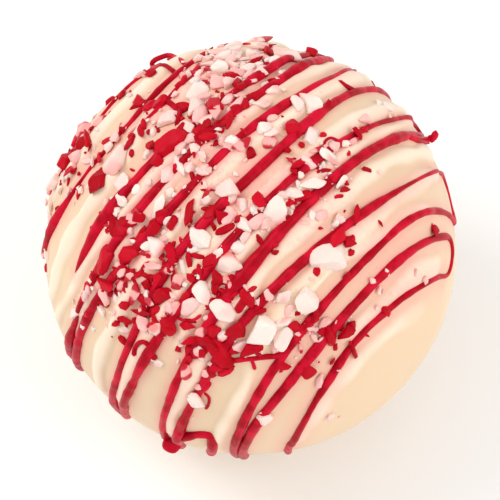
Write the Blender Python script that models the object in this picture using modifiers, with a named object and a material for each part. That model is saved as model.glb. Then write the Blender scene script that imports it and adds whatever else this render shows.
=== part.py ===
"""A white hot chocolate sphere with drizzle and crushed peppermint, in metres, +Z up.

The origin is the middle of the small flat spot that the sphere rests on. The drizzle
crosses the top in nearly parallel passes, and a place on it is given by its offset
across the passes and its angle along them from the top. A peppermint piece is given as
someone sees it who looks down on the sphere from the front: so far right and so far up
from the middle. The toppings stick to the chocolate, so everything is one solid.
"""

import math

import bmesh
import bpy
import numpy as np
from mathutils import Matrix, Vector

MM = 0.001

# The sphere and the spot that it rests on
BALL_RADIUS = 31.75 * MM
SPOT_RADIUS = 8.0 * MM
BALL_MIDDLE = math.sqrt(BALL_RADIUS**2 - SPOT_RADIUS**2)
BALL_STEPS = 40
BALL_RINGS = 18
SPOT_CLEARANCE = 0.1 * MM

# How the passes run and how the sphere is looked at
PASS_HEADING = math.radians(46.5)
PASS_LEAN = math.radians(6.0)
VIEW_TILT = math.radians(62.0)

# How far above the ball toppings are seen, and what a strand leans in for it at most, as
# the tangent of its angle away from the line of sight
COAT_RISE = 0.3 * MM
WIDTH_RISE = 0.25  # and so much of their width
STRAND_RISE = 0.6 * MM
STEEPEST = 1.6

# Red drizzle: first and last angle in degrees, thickness in mm, and the offsets in mm
# at equal steps of angle
RED_PASSES = {
    "a": (-92, 45, 1.0, (-25.8, -27.5, -28.3, -29.1, -28.8)),
    "b": (-97, 37, 1.3, (-22.2, -22.4, -22.8, -22.7, -23.4, -23.2)),
    "c": (-12, 32, 0.9, (-20.1, -20.2, -20.2)),
    "d": (-68, 62, 1.4, (-13.8, -14.6, -13.7, -12.4, -12.1)),
    "e": (-110, 62, 1.5, (-9.5, -9.6, -10.2, -10.5, -9.8, -9.8)),
    "f": (-110, 80, 1.4, (-7.3, -7.8, -6.7, -6.4, -5.5, -7.2)),
    "g": (-113, 80, 1.5, (1.0, 1.1, -0.9, -0.6, -1.6, -0.2)),
    "h": (-111, 62, 1.5, (2.9, 4.1, 4.4, 4.0, 4.6, 5.3)),
    "i": (-117, 62, 1.6, (10.2, 10.3, 9.5, 8.7, 8.1, 8.3)),
    "j": (-112, 75, 1.5, (12.1, 13.5, 13.4, 14.5, 15.1, 13.8)),
    "k": (-122, 75, 1.5, (19.3, 20.7, 20.6, 20.2, 19.2, 20.4)),
    "l": (-122, 60, 1.5, (20.1, 22.0, 23.3, 23.3, 22.7, 22.6)),
    "m": (-128, 60, 1.3, (24.7, 26.6, 27.0, 26.4, 26.5, 26.5)),
}
# Where one red pass turns back into the next: at its last or its first angle, and by
# how many degrees the bend goes on beyond it
RED_BENDS = (
    ("d", "e", "last", 5),
    ("f", "g", "last", 10),
    ("h", "i", "last", 12),
    ("j", "k", "last", 9),
    ("l", "m", "last", 7),
    ("e", "f", "first", 4),
    ("g", "h", "first", 4),
    ("i", "j", "first", 6),
    ("k", "l", "first", 2),
)
# White drizzle under the red, set out the same way
WHITE_PASSES = (
    (-88, 60, 2.6, (-25.6, -25.4, -25.8)),
    (-96, 70, 3.0, (-16.0, -19.0, -18.0)),
    (-100, 45, 2.4, (-13.2, -11.7, -12.0)),
    (-80, 76, 2.6, (-8.9, -8.8, -7.4)),
    (-104, 72, 2.8, (-1.6, -3.2, -3.9, -4.0, -4.3)),
    (-100, 74, 2.8, (3.0, 3.1, 3.2)),
    (-60, 70, 2.2, (7.2, 6.4, 6.2)),
    (-104, 70, 2.8, (12.2, 10.6, 11.5)),
    (-50, 66, 2.6, (16.2, 16.4, 14.8)),
    (-115, 50, 2.0, (17.4, 18.4, 17.0, 18.0, 18.6)),
    (-28, 55, 2.4, (24.6, 25.0, 25.0)),
    (-108, 40, 1.8, (26.8, 27.6, 27.6, 28.4, 28.8)),
)
RED_SINK = 0.10  # how far a strand's middle lies above the chocolate, over its thickness
WHITE_SINK = -0.28
POINT_SPACING = 5.0 * MM

# Loose ends, loops and links of red: thickness, then points right and up in mm
RED_TRAILS = (
    (0.9, ((-16.1, 21.4), (-14.1, 22.8), (-12.5, 22.7), (-10.9, 21.7), (-9.6, 22.2))),
    (0.8, ((13.5, 25.9), (14.8, 25.3), (16.8, 24.6))),
    (1.3, ((24.4, 17.9), (26.2, 17.3), (27.4, 17.0), (28.4, 17.5), (28.9, 18.6))),
    (0.9, ((-15.3, 28.5), (-15.1, 29.3), (-14.0, 29.9), (-12.3, 30.1), (-10.1, 29.2))),
    (1.5, ((-10.8, -28.9), (-8.2, -28.7), (-6.3, -28.9), (-5.8, -30.3), (-6.0, -31.3))),
    (0.9, ((-2.8, -17.2), (-0.8, -16.9), (2.4, -16.6), (4.4, -16.4), (6.4, -15.4))),
)
END_BLOB = (-12.5, -31.2, 3.2)  # where two passes hang over the edge: right, up, width
BLOB_RISE = 0.6 * MM

# Peppermint that stands out: right, up, length and width in mm, and its turn in degrees
RED_PIECES = (
    (-12.8, 16.7, 6.2, 3.8, 36),
    (-23.4, 10.7, 3.8, 3.2, 50),
    (-21.9, -1.4, 4.6, 2.4, 75),
    (-4.9, -15.8, 5.8, 3.2, 132),
    (-1.9, -12.5, 3.2, 2.7, 20),
    (6.5, 18.9, 3.0, 2.5, 60),
    (-12.8, -11.6, 3.6, 2.7, 130),
    (13.7, 1.9, 3.4, 2.2, 35),
    (-28.7, 13.9, 3.8, 2.8, 65),
    (-25.8, 16.2, 2.7, 2.3, 10),
    (-20.0, 24.3, 2.1, 1.6, 80),
    (-0.6, -7.4, 2.9, 2.1, 100),
    (12.5, -13.3, 3.9, 2.2, 100),
    (8.8, -18.6, 3.2, 2.2, 140),
    (-5.3, 21.4, 3.8, 1.9, 100),
    (-7.3, -12.5, 3.2, 2.1, 15),
    (-19.6, -10.8, 2.4, 1.4, 10),
    (-18.0, -6.9, 3.2, 1.7, 65),
    (-22.6, -6.9, 3.0, 2.1, 110),
    (-13.5, -7.2, 3.4, 2.5, 25),
    (-3.4, 19.7, 3.0, 1.3, 80),
    (-27.5, 16.9, 3.2, 1.8, 75),
    (-16.6, 18.3, 2.8, 1.2, 95),
    (16.3, 5.4, 3.0, 1.3, 85),
)
WHITE_PIECES = (
    (-20.8, 13.9, 4.6, 4.0, 20),
    (-20.2, 10.8, 3.2, 2.8, 150),
    (2.0, -12.9, 5.2, 4.4, 100),
    (5.0, -13.5, 3.8, 3.0, 100),
    (-3.6, 9.3, 4.2, 3.1, 150),
    (3.7, 6.1, 4.4, 3.8, 50),
    (-1.1, 3.8, 2.6, 2.0, 110),
    (9.3, 17.5, 3.9, 2.5, 80),
    (7.2, 22.4, 3.2, 2.4, 80),
    (9.9, 22.7, 3.8, 3.3, 100),
    (-3.7, -9.4, 4.6, 2.8, 175),
    (-7.5, -6.6, 3.8, 2.6, 125),
    (8.8, -7.7, 4.4, 3.8, 60),
    (12.4, -1.3, 6.0, 4.2, 15),
    (-8.1, -23.5, 3.4, 2.2, 115),
    (2.3, -26.1, 2.4, 1.9, 20),
    (-10.9, 12.9, 3.9, 1.2, 115),
    (-8.3, 25.1, 4.2, 3.6, 40),
    (9.6, 10.3, 4.4, 2.1, 20),
    (-13.2, 20.7, 3.2, 2.5, 15),
    (-14.1, 6.2, 4.0, 2.2, 60),
    (-7.3, 1.7, 5.4, 2.9, 130),
    (-1.8, 0.4, 3.2, 2.7, 160),
    (-3.5, -2.4, 3.8, 3.0, 10),
    (-30.1, 10.3, 3.0, 2.2, 80),
    (5.7, 30.1, 4.2, 2.0, 15),
)
PINK_PIECES = (
    (-23.5, 20.2, 3.2, 2.9, 30),
    (-26.4, 18.9, 3.2, 2.9, 70),
    (14.0, 4.8, 2.3, 1.9, 20),
    (10.9, -20.3, 2.3, 1.4, 80),
    (-9.3, -8.8, 4.2, 2.6, 30),
    (-1.4, -15.1, 3.0, 1.7, 10),
    (-16.4, -11.2, 2.4, 2.0, 110),
    (3.4, 20.4, 2.1, 1.6, 20),
    (12.9, 15.8, 2.2, 1.6, 10),
    (17.7, 20.1, 2.6, 1.8, 40),
    (-4.7, 26.2, 2.9, 2.5, 10),
    (-15.1, -2.5, 3.2, 1.7, 5),
    (-19.7, -3.0, 2.6, 2.0, 100),
)
# Patches of crumbs strewn between them: middle right and up, spread right and up in mm,
# how many, the share that is red, and which side of the sphere
CRUMB_PATCHES = (
    (-3.0, 28.0, 5.0, 2.4, 14, 0.25, "front"),
    (-9.0, 19.0, 6.5, 5.0, 12, 0.40, "front"),
    (-2.0, 9.0, 8.0, 6.0, 8, 0.30, "front"),
    (-18.0, -3.0, 5.0, 7.0, 10, 0.45, "front"),
    (-7.0, -12.0, 5.0, 4.0, 7, 0.60, "front"),
    (9.0, 8.0, 6.5, 6.5, 6, 0.30, "front"),
    (9.0, -14.0, 4.5, 6.0, 4, 0.40, "front"),
    (-26.0, 13.0, 3.0, 5.0, 5, 0.40, "front"),
    (22.0, -2.0, 3.5, 7.0, 5, 0.35, "front"),
    (-6.0, 29.0, 10.0, 4.0, 10, 0.35, "back"),
    (10.0, 25.0, 8.0, 5.0, 6, 0.35, "back"),
)
CRUMB_SIZES = (1.3, 2.6)
CRUMB_SEED = 24
PIECE_THICKNESS = 0.55  # over its width
PIECE_SINK = 0.22  # how far its middle lies above the chocolate, over its thickness
PIECE_RAGGED = 0.17  # how far its corners are pulled about, over its size

MOST_TRIANGLES = 10000

CHOCOLATE = ("white chocolate", (0.93, 0.80, 0.62), 0.45)
RED_SUGAR = ("red drizzle", (0.50, 0.01, 0.03), 0.30)
WHITE_MINT = ("white peppermint", (0.95, 0.88, 0.80), 0.35)
PINK_MINT = ("pink peppermint", (0.93, 0.50, 0.48), 0.35)


def material(look):
    """The material of this name, made once from its colour and roughness."""
    name, colour, roughness = look
    if name in bpy.data.materials:
        return bpy.data.materials[name]
    made = bpy.data.materials.new(name)
    made.use_nodes = True
    shader = made.node_tree.nodes["Principled BSDF"]
    shader.inputs["Base Color"].default_value = (*colour, 1.0)
    shader.inputs["Roughness"].default_value = roughness
    shader.inputs["Metallic"].default_value = 0.0
    made.diffuse_color = (*colour, 1.0)
    return made


def pass_axes():
    """A matrix whose columns point across the passes, along them and up."""
    level = math.cos(PASS_LEAN)
    across = np.array(
        (math.sin(PASS_HEADING) * level, -math.cos(PASS_HEADING) * level, -math.sin(PASS_LEAN))
    )
    along = np.array((math.cos(PASS_HEADING), math.sin(PASS_HEADING), 0.0))
    return np.column_stack((across, along, np.cross(across, along)))


def view_axes():
    """A matrix whose columns point right, up and towards whoever looks at the sphere."""
    right = np.array((1.0, 0.0, 0.0))
    towards = np.array((0.0, -math.cos(VIEW_TILT), math.sin(VIEW_TILT)))
    return np.column_stack((right, np.cross(towards, right), towards))


def on_pass(offset, angle, lift):
    """Points at these offsets across and angles along, this far above the chocolate."""
    share = offset / BALL_RADIUS
    circle = np.sqrt(1.0 - share**2)
    unit = np.column_stack((share, circle * np.sin(angle), circle * np.cos(angle)))
    unit = leant(unit @ pass_axes().T)
    return (BALL_RADIUS + lift) * unit + (0.0, 0.0, BALL_MIDDLE)


def leant(unit):
    """Unit vectors turned towards whoever looks at the sphere, by as much as makes up for
    the height at which strands are seen above it.

    At an angle a from the line of sight the turn is the rise over the radius times the
    tangent of a, up to a limit, and it fades away where the sphere curves out of sight.
    """
    toward = view_axes()[:, 2]
    facing = np.clip(unit @ toward, -1.0, 1.0)[:, None]
    away = np.arccos(facing)
    tangent = np.minimum(np.abs(np.tan(away)), STEEPEST)
    share = np.clip((math.radians(95) - away) / math.radians(35), 0.0, 1.0)
    turn = STRAND_RISE / BALL_RADIUS * tangent * share * share * (3.0 - 2.0 * share)
    inwards = toward - facing * unit
    inwards /= np.maximum(np.linalg.norm(inwards, axis=1, keepdims=True), 1e-9)
    return np.cos(turn) * unit + np.sin(turn) * inwards


def seen_at(right, up, width=1.2, side="front"):
    """The unit vector from the ball's middle to a topping so wide that is seen so far
    right and up (all in mm)."""
    reach = BALL_RADIUS + COAT_RISE + WIDTH_RISE * width * MM
    flat = np.array((right, up)) * MM / reach
    flat /= max(1.0, np.linalg.norm(flat) / 0.995)
    depth = math.sqrt(1.0 - flat @ flat)
    return view_axes() @ (*flat, depth if side == "front" else -depth)


def through(values, share):
    """A smooth curve through values at equal steps, read at shares from 0 to 1."""
    values = np.asarray(values, float)
    place = np.clip(share, 0.0, 1.0) * (len(values) - 1)
    left = np.minimum(place.astype(int), len(values) - 2)
    rest = place - left
    slope = np.gradient(values)
    eased = values[left] + (values[left + 1] - values[left]) * rest**2 * (3 - 2 * rest)
    leaving = slope[left] * rest * (1 - rest) ** 2
    arriving = slope[left + 1] * rest**2 * (1 - rest)
    return eased + leaving - arriving


def pass_route(first, last, thickness, offsets, sink):
    """Points along one pass over the ball."""
    circle = math.sqrt(BALL_RADIUS**2 - (offsets[len(offsets) // 2] * MM) ** 2)
    length = circle * math.radians(last - first)
    share = np.linspace(0.0, 1.0, 1 + math.ceil(length / POINT_SPACING))
    angle = np.radians(first + (last - first) * share)
    return on_pass(through(offsets, share) * MM, angle, sink * thickness * MM)


def bend_route(one, other, end, reach):
    """Points round the half turn that joins one pass to the other at this end."""
    place = 1 if end == "last" else 0
    station = -1 if end == "last" else 0
    reach = reach if end == "last" else -reach
    start, stop = one[3][station] * MM, other[3][station] * MM
    turn = np.linspace(0.0, math.pi, 7)
    moved = (1.0 - np.cos(turn)) / 2.0
    angle = one[place] + (other[place] - one[place]) * moved + reach * np.sin(turn)
    return on_pass(
        start + (stop - start) * moved, np.radians(angle), RED_SINK * one[2] * MM
    )


def trail_route(thickness, points):
    """Points along a loose end: on the ball, or beside it where it is seen to reach out."""
    places = []
    for right, up in points:
        reach = math.hypot(right, up) * MM
        above = max(RED_SINK * thickness * MM, reach - BALL_RADIUS, 0.0)
        places.append((BALL_RADIUS + above) * seen_at(right, up))
    return np.array(places) + (0.0, 0.0, BALL_MIDDLE)


def mesh_object(name, mesh, look, collection):
    """A new object of this mesh in the collection, with its material."""
    made = bpy.data.objects.new(name, mesh)
    mesh.materials.clear()
    mesh.materials.append(material(look))
    collection.objects.link(made)
    return made


def strand(name, points, thickness, look, collection):
    """A tube with thinner, closed ends along the points, as a mesh."""
    curve = bpy.data.curves.new(name, "CURVE")
    curve.dimensions = "3D"
    curve.bevel_depth = thickness * MM / 2.0
    curve.bevel_resolution = 1
    curve.use_fill_caps = True
    line = curve.splines.new("POLY")
    line.points.add(len(points) - 1)
    for point, place in zip(line.points, points):
        point.co = (*place, 1.0)
    line.points[0].radius = line.points[-1].radius = 0.6
    guide = bpy.data.objects.new(name, curve)
    collection.objects.link(guide)
    bpy.context.view_layer.update()
    evaluated = guide.evaluated_get(bpy.context.evaluated_depsgraph_get())
    mesh = bpy.data.meshes.new_from_object(evaluated)
    matrix = guide.matrix_world.copy()
    bpy.data.objects.remove(guide)
    weld(mesh)
    mesh_object(name, mesh, look, collection).matrix_world = matrix


def weld(mesh):
    """Joins the mesh's loose caps to its sides and turns every face outwards."""
    shape = bmesh.new()
    shape.from_mesh(mesh)
    bmesh.ops.remove_doubles(shape, verts=shape.verts, dist=0.001 * MM)
    bmesh.ops.recalc_face_normals(shape, faces=shape.faces)
    shape.to_mesh(mesh)
    shape.free()


def ball(collection):
    """The chocolate sphere, turned from half its outline with the flat spot below."""
    low = math.asin(SPOT_RADIUS / BALL_RADIUS)
    shape = bmesh.new()
    outline = [
        shape.verts.new((BALL_RADIUS * math.sin(a), 0.0, BALL_MIDDLE + BALL_RADIUS * math.cos(a)))
        for a in np.linspace(0.0, math.pi - low, BALL_RINGS + 1)
    ]
    outline[0].co.x = 0.0
    outline.append(shape.verts.new((0.0, 0.0, 0.0)))
    outline[-2].co.z = 0.0
    for above, below in zip(outline, outline[1:]):
        shape.edges.new((above, below))
    mesh = bpy.data.meshes.new("chocolate_sphere")
    shape.to_mesh(mesh)
    shape.free()
    made = mesh_object("chocolate_sphere", mesh, CHOCOLATE, collection)
    turned = made.modifiers.new("turned", "SCREW")
    turned.steps = turned.render_steps = BALL_STEPS
    turned.use_merge_vertices = True
    turned.merge_threshold = 0.0001
    apply_modifiers(made)
    return made


def apply_modifiers(made):
    """Replaces the object's mesh by what its modifiers make of it."""
    bpy.context.view_layer.update()
    evaluated = made.evaluated_get(bpy.context.evaluated_depsgraph_get())
    mesh = bpy.data.meshes.new_from_object(evaluated)
    made.modifiers.clear()
    old = made.data
    made.data = mesh
    bpy.data.meshes.remove(old)
    mesh.name = made.name


def piece(unit, length, width, turn, look, chance, collection):
    """A shard of peppermint, a box with its corners pulled about, lying on the ball."""
    axes = view_axes()
    flat = axes[:, 0] - unit * (axes[:, 0] @ unit)
    flat /= np.linalg.norm(flat)
    side = np.cross(unit, flat)
    forward = math.cos(turn) * flat + math.sin(turn) * side
    tilt = chance.uniform(-0.22, 0.22, 2)
    normal = unit + tilt[0] * flat + tilt[1] * side
    normal /= np.linalg.norm(normal)
    sideways = np.cross(normal, forward)
    sideways /= np.linalg.norm(sideways)
    frame = np.column_stack((np.cross(sideways, normal), sideways, normal))
    thickness = PIECE_THICKNESS * width
    middle = (BALL_RADIUS + PIECE_SINK * thickness) * unit + (0.0, 0.0, BALL_MIDDLE)
    shape = bmesh.new()
    bmesh.ops.create_cube(shape, size=1.0)
    for corner in shape.verts:
        pulled = np.array(corner.co) + chance.uniform(-PIECE_RAGGED, PIECE_RAGGED, 3)
        corner.co = Vector(frame @ (pulled * (length, width, thickness)) + middle)
    mesh = bpy.data.meshes.new("piece")
    shape.to_mesh(mesh)
    shape.free()
    weld(mesh)
    mesh_object("piece", mesh, look, collection)


def scattered(patch, chance):
    """The crumbs of one patch: where, how long and wide, how turned, and which kind."""
    right, up, spread_right, spread_up, count, red_share, side = patch
    for _ in range(count):
        x, y = chance.normal((right, up), (spread_right, spread_up))
        length = chance.uniform(*CRUMB_SIZES)
        width = length * chance.uniform(0.55, 0.9)
        turn = chance.uniform(0.0, math.tau)
        draw = chance.uniform()
        look = RED_SUGAR if draw < red_share else PINK_MINT if draw > 0.8 else WHITE_MINT
        yield seen_at(x, y, side=side), length, width, turn, look


def peppermint(collection):
    """The pieces that stand out, then the crumbs strewn between them."""
    chance = np.random.default_rng(CRUMB_SEED)
    for look, rows in (
        (RED_SUGAR, RED_PIECES),
        (WHITE_MINT, WHITE_PIECES),
        (PINK_MINT, PINK_PIECES),
    ):
        for right, up, length, width, turn in rows:
            unit = seen_at(right, up, width)
            turned = math.radians(turn)
            piece(unit, length * MM, width * MM, turned, look, chance, collection)
    for patch in CRUMB_PATCHES:
        for unit, length, width, turn, look in scattered(patch, chance):
            piece(unit, length * MM, width * MM, turn, look, chance, collection)


def drizzle(collection):
    """White strands sunk in the coat, and the red ones that lie on top of them."""
    for row in WHITE_PASSES:
        strand("white pass", pass_route(*row, WHITE_SINK), row[2], CHOCOLATE, collection)
    for name, row in RED_PASSES.items():
        strand("red pass " + name, pass_route(*row, RED_SINK), row[2], RED_SUGAR, collection)
    for one, other, end, reach in RED_BENDS:
        points = bend_route(RED_PASSES[one], RED_PASSES[other], end, reach)
        strand("red bend", points, RED_PASSES[one][2], RED_SUGAR, collection)
    for thickness, points in RED_TRAILS:
        strand("red trail", trail_route(thickness, points), thickness, RED_SUGAR, collection)
    right, up, width = END_BLOB
    place = (BALL_RADIUS + BLOB_RISE) * seen_at(right, up, width) + (0.0, 0.0, BALL_MIDDLE)
    shape = bmesh.new()
    at = Matrix.Translation(Vector(place))
    bmesh.ops.create_icosphere(shape, subdivisions=2, radius=width * MM / 2.0, matrix=at)
    mesh = bpy.data.meshes.new("red blob")
    shape.to_mesh(mesh)
    shape.free()
    mesh_object("red blob", mesh, RED_SUGAR, collection)


def fuse(body, toppings):
    """Unites the body with every object of the collection, which is then removed."""
    union = body.modifiers.new("toppings", "BOOLEAN")
    union.operation = "UNION"
    union.operand_type = "COLLECTION"
    union.collection = toppings
    union.solver = "MANIFOLD"
    apply_modifiers(body)
    for topping in list(toppings.objects):
        bpy.data.objects.remove(topping)
    bpy.data.collections.remove(toppings)


def keep_largest_shell(mesh):
    """Drops loose scraps and the walls of sealed hollows."""
    shape = bmesh.new()
    shape.from_mesh(mesh)
    bmesh.ops.triangulate(shape, faces=shape.faces)
    waiting = set(shape.verts)
    shells = []
    while waiting:
        shell = {waiting.pop()}
        edge = list(shell)
        while edge:
            near = {e.other_vert(v) for v in edge for e in v.link_edges} - shell
            shell |= near
            edge = list(near)
        waiting -= shell
        shells.append(shell)
    shells.sort(key=len)
    scraps = [vert for shell in shells[:-1] for vert in shell]
    bmesh.ops.delete(shape, geom=scraps, context="VERTS")
    shape.to_mesh(mesh)
    shape.free()


def thin_out(body):
    """Merges the slivers that the cuts left, down to MOST_TRIANGLES faces."""
    fewer = body.modifiers.new("fewer faces", "DECIMATE")
    fewer.ratio = min(1.0, MOST_TRIANGLES / len(body.data.polygons))
    apply_modifiers(body)


def flatten_spot(mesh):
    """Sets the points of the spot that the sphere rests on exactly level."""
    for vert in mesh.vertices:
        if vert.co.z < SPOT_CLEARANCE:
            vert.co.z = 0.0


def main():
    for old in list(bpy.data.objects):
        bpy.data.objects.remove(old)
    parts = bpy.data.collections.new("hot chocolate sphere")
    toppings = bpy.data.collections.new("toppings")
    bpy.context.scene.collection.children.link(parts)
    bpy.context.scene.collection.children.link(toppings)
    body = ball(parts)
    drizzle(toppings)
    peppermint(toppings)
    fuse(body, toppings)
    keep_largest_shell(body.data)
    thin_out(body)
    flatten_spot(body.data)
    body.data.set_sharp_from_angle(angle=math.radians(30))
    print("triangles", len(body.data.polygons))


main()
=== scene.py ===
"""Looks of a white hot chocolate sphere with drizzle and crushed peppermint.

The drizzle crosses the top in nearly parallel passes. A place on the sphere is given by
its offset across the passes and its angle along them from the top, and a peppermint
piece by how far right and up of the middle someone sees it who looks down on the sphere
from the front. Lengths are in metres, and in millimetres where a table says so.
"""

import math
from itertools import product

import bpy
import numpy as np
from mathutils import Matrix


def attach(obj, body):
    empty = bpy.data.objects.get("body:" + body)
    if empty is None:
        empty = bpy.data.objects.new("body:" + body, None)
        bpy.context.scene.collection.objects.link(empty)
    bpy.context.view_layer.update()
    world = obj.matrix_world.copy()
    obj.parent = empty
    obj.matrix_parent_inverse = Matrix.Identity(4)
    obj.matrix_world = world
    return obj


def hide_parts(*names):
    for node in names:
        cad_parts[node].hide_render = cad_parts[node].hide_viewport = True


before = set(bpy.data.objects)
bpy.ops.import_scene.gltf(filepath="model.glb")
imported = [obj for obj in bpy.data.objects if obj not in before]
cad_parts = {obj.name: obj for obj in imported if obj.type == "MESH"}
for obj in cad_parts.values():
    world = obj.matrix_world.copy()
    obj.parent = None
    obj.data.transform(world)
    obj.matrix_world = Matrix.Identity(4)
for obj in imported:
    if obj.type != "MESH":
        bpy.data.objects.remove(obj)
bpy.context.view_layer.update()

MM = 0.001

# The sphere and the spot that it rests on
BALL_RADIUS = 31.75 * MM
SPOT_RADIUS = 8.0 * MM
BALL_MIDDLE = np.array((0.0, 0.0, math.sqrt(BALL_RADIUS**2 - SPOT_RADIUS**2)))
BALL_ROWS = 430
BALL_COLUMNS = 224
SPOT_EDGE = 0.15 * MM

# How the passes run and how the sphere is looked at
PASS_HEADING = math.radians(46.5)
PASS_LEAN = math.radians(6.0)
VIEW_TILT = math.radians(62.0)

# How far above the ball toppings are seen, and what a strand leans in for it at most, as
# the tangent of its angle away from the line of sight
COAT_RISE = 0.3 * MM
WIDTH_RISE = 0.25  # and so much of their width
STRAND_RISE = 0.6 * MM
STEEPEST = 1.6
LEAN_FADE = (math.radians(60), math.radians(95))  # it fades between these angles
USUAL_WIDTH = 1.2  # mm, for a topping whose width isn't given
OUTERMOST = 0.995  # how far out a topping is placed at most, over its distance

# Red drizzle: first and last angle in degrees, thickness in mm, and the offsets in mm
# at equal steps of angle
RED_PASSES = {
    "a": (-92, 45, 1.0, (-25.8, -27.5, -28.3, -29.1, -28.8)),
    "b": (-97, 37, 1.3, (-22.2, -22.4, -22.8, -22.7, -23.4, -23.2)),
    "c": (-12, 32, 0.9, (-20.1, -20.2, -20.2)),
    "d": (-68, 62, 1.4, (-13.8, -14.6, -13.7, -12.4, -12.1)),
    "e": (-110, 62, 1.5, (-9.5, -9.6, -10.2, -10.5, -9.8, -9.8)),
    "f": (-110, 80, 1.4, (-7.3, -7.8, -6.7, -6.4, -5.5, -7.2)),
    "g": (-113, 80, 1.5, (1.0, 1.1, -0.9, -0.6, -1.6, -0.2)),
    "h": (-111, 62, 1.5, (2.9, 4.1, 4.4, 4.0, 4.6, 5.3)),
    "i": (-117, 62, 1.6, (10.2, 10.3, 9.5, 8.7, 8.1, 8.3)),
    "j": (-112, 75, 1.5, (12.1, 13.5, 13.4, 14.5, 15.1, 13.8)),
    "k": (-122, 75, 1.5, (19.3, 20.7, 20.6, 20.2, 19.2, 20.4)),
    "l": (-122, 60, 1.5, (20.1, 22.0, 23.3, 23.3, 22.7, 22.6)),
    "m": (-128, 60, 1.3, (24.7, 26.6, 27.0, 26.4, 26.5, 26.5)),
}
# How wide each of them looks in mm, at equal steps of angle
RED_WIDTHS = {
    "a": (0.3, 0.3, 0.4, 0.5, 0.5, 0.6, 0.7, 0.8, 0.7, 0.8, 0.8),
    "b": (1.3, 1.0, 1.7, 0.8, 0.45, 0.7, 0.7, 1.0, 1.1, 0.8, 1.2),
    "c": (0.5, 0.6, 0.6, 0.4, 0.3),
    "d": (0.2, 1.6, 1.9, 1.1, 1.5, 0.7, 0.7, 1.3, 1.3, 1.0, 0.7),
    "e": (1.2, 1.4, 0.6, 1.2, 1.6, 1.2, 1.0, 1.5, 1.5, 1.5, 1.0),
    "f": (1.3, 1.2, 1.2, 1.2, 1.5, 0.9, 1.4, 1.2, 0.7, 0.5, 0.5),
    "g": (1.2, 1.2, 1.1, 1.2, 1.2, 1.5, 1.2, 1.4, 1.1, 0.9, 0.7),
    "h": (1.4, 1.1, 1.2, 1.4, 1.2, 1.3, 0.8, 1.3, 0.9, 0.6, 0.8),
    "i": (1.1, 1.1, 1.1, 1.2, 1.3, 2.0, 1.5, 1.5, 1.2, 1.4, 1.0),
    "j": (1.4, 1.4, 1.0, 1.2, 1.4, 1.4, 1.1, 1.2, 0.5, 0.5, 0.7),
    "k": (1.0, 1.1, 1.3, 1.2, 1.1, 1.3, 0.9, 1.2, 1.0, 0.8, 0.7),
    "l": (1.3, 1.2, 1.5, 1.3, 1.4, 1.6, 1.3, 1.1, 1.2, 0.9, 0.8),
    "m": (1.0, 1.0, 1.0, 0.8, 1.0, 1.2, 1.1, 1.2, 1.0, 0.8, 0.6),
}
# The one long run of red: its passes in turn, which way each goes, and by how many
# degrees the bend after it goes on beyond its end
RED_RUN = (
    ("d", "up", 5),
    ("e", "down", 4),
    ("f", "up", 10),
    ("g", "down", 4),
    ("h", "up", 12),
    ("i", "down", 6),
    ("j", "up", 9),
    ("k", "down", 2),
    ("l", "up", 7),
    ("m", "down", 0),
)
SINGLE_PASSES = ("a", "b", "c")
# White drizzle under the red, set out as the red passes
WHITE_PASSES = (
    (-88, 60, 2.6, (-25.6, -25.4, -25.8)),
    (-96, 70, 3.0, (-16.0, -19.0, -18.0)),
    (-100, 45, 2.4, (-13.2, -11.7, -12.0)),
    (-80, 76, 2.6, (-8.9, -8.8, -7.4)),
    (-104, 72, 2.8, (-1.6, -3.2, -3.9, -4.0, -4.3)),
    (-100, 74, 2.8, (3.0, 3.1, 3.2)),
    (-60, 70, 2.2, (7.2, 6.4, 6.2)),
    (-104, 70, 2.8, (12.2, 10.6, 11.5)),
    (-50, 66, 2.6, (16.2, 16.4, 14.8)),
    (-115, 50, 2.0, (17.4, 18.4, 17.0, 18.0, 18.6)),
    (-28, 55, 2.4, (24.6, 25.0, 25.0)),
    (-108, 40, 1.8, (26.8, 27.6, 27.6, 28.4, 28.8)),
)
WHITE_RISE = 0.26  # how high a white strand stands, over its thickness
WHITE_HALF = 0.62  # half its width, over its thickness
WHITE_TIP = 0.4  # how much of its width is left at its tips
WHITE_FLATNESS = 0.7  # the power that flattens the top of its section
END_FADE = 4.0 * MM  # how far from its ends a white strand reaches its full size
# Unevenness of a white strand: how much, the length of its waves, and the first seed
WHITE_SWAY = (0.35 * MM, 14 * MM, 40)  # of its way, to either side
WHITE_VARIES = (0.16, 11 * MM, 60)  # of half its width, over its thickness
WHITE_SWELL = (0.3, 9 * MM, 80)  # of its height, over its height
# Unevenness of the whole coat, in mm, set out in the same way
COAT_WAVES = ((0.10, 22 * MM, 7), (0.03, 6 * MM, 8))
WAVE_COUNT = 18  # how many sine waves make up any unevenness
WAVE_LENGTHS = (0.6, 1.6)  # their lengths, over the one given

RED_RISE = 0.50  # how high a red strand stands above what it lies on, over its thickness
RED_DEPTH = 0.35  # how deep it reaches into it
RED_FULLNESS = 1.25  # over the widths given, for what the photograph blurs away
RED_LIFT = 0.02  # how far its middle line lies above the coat, over its width
TRAIL_LIFT = 0.1 * MM  # the same for a loose end or a link
RED_SWELL = ((0.08, 7 * MM, 0), (0.05, 2.5 * MM, 1))  # of its width, as for the white
RED_TIP = 0.6  # how long its round tip is, over its thickness
TIP_LEFT = 0.02  # the square of how wide the very tip is, over its width
RUN_SEED = 200
TRAIL_SEED = 240
STRAND_STEP = 0.38 * MM
STRAND_SIDES = 16
PASS_POINTS = 60
BEND_POINTS = 14
FEWEST_POINTS = 4
FINE_POINTS = 24  # for each point given, where a curve is measured before it is divided
CORNER_EASE = 4  # points over which the corners of a pass are rounded off

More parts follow.
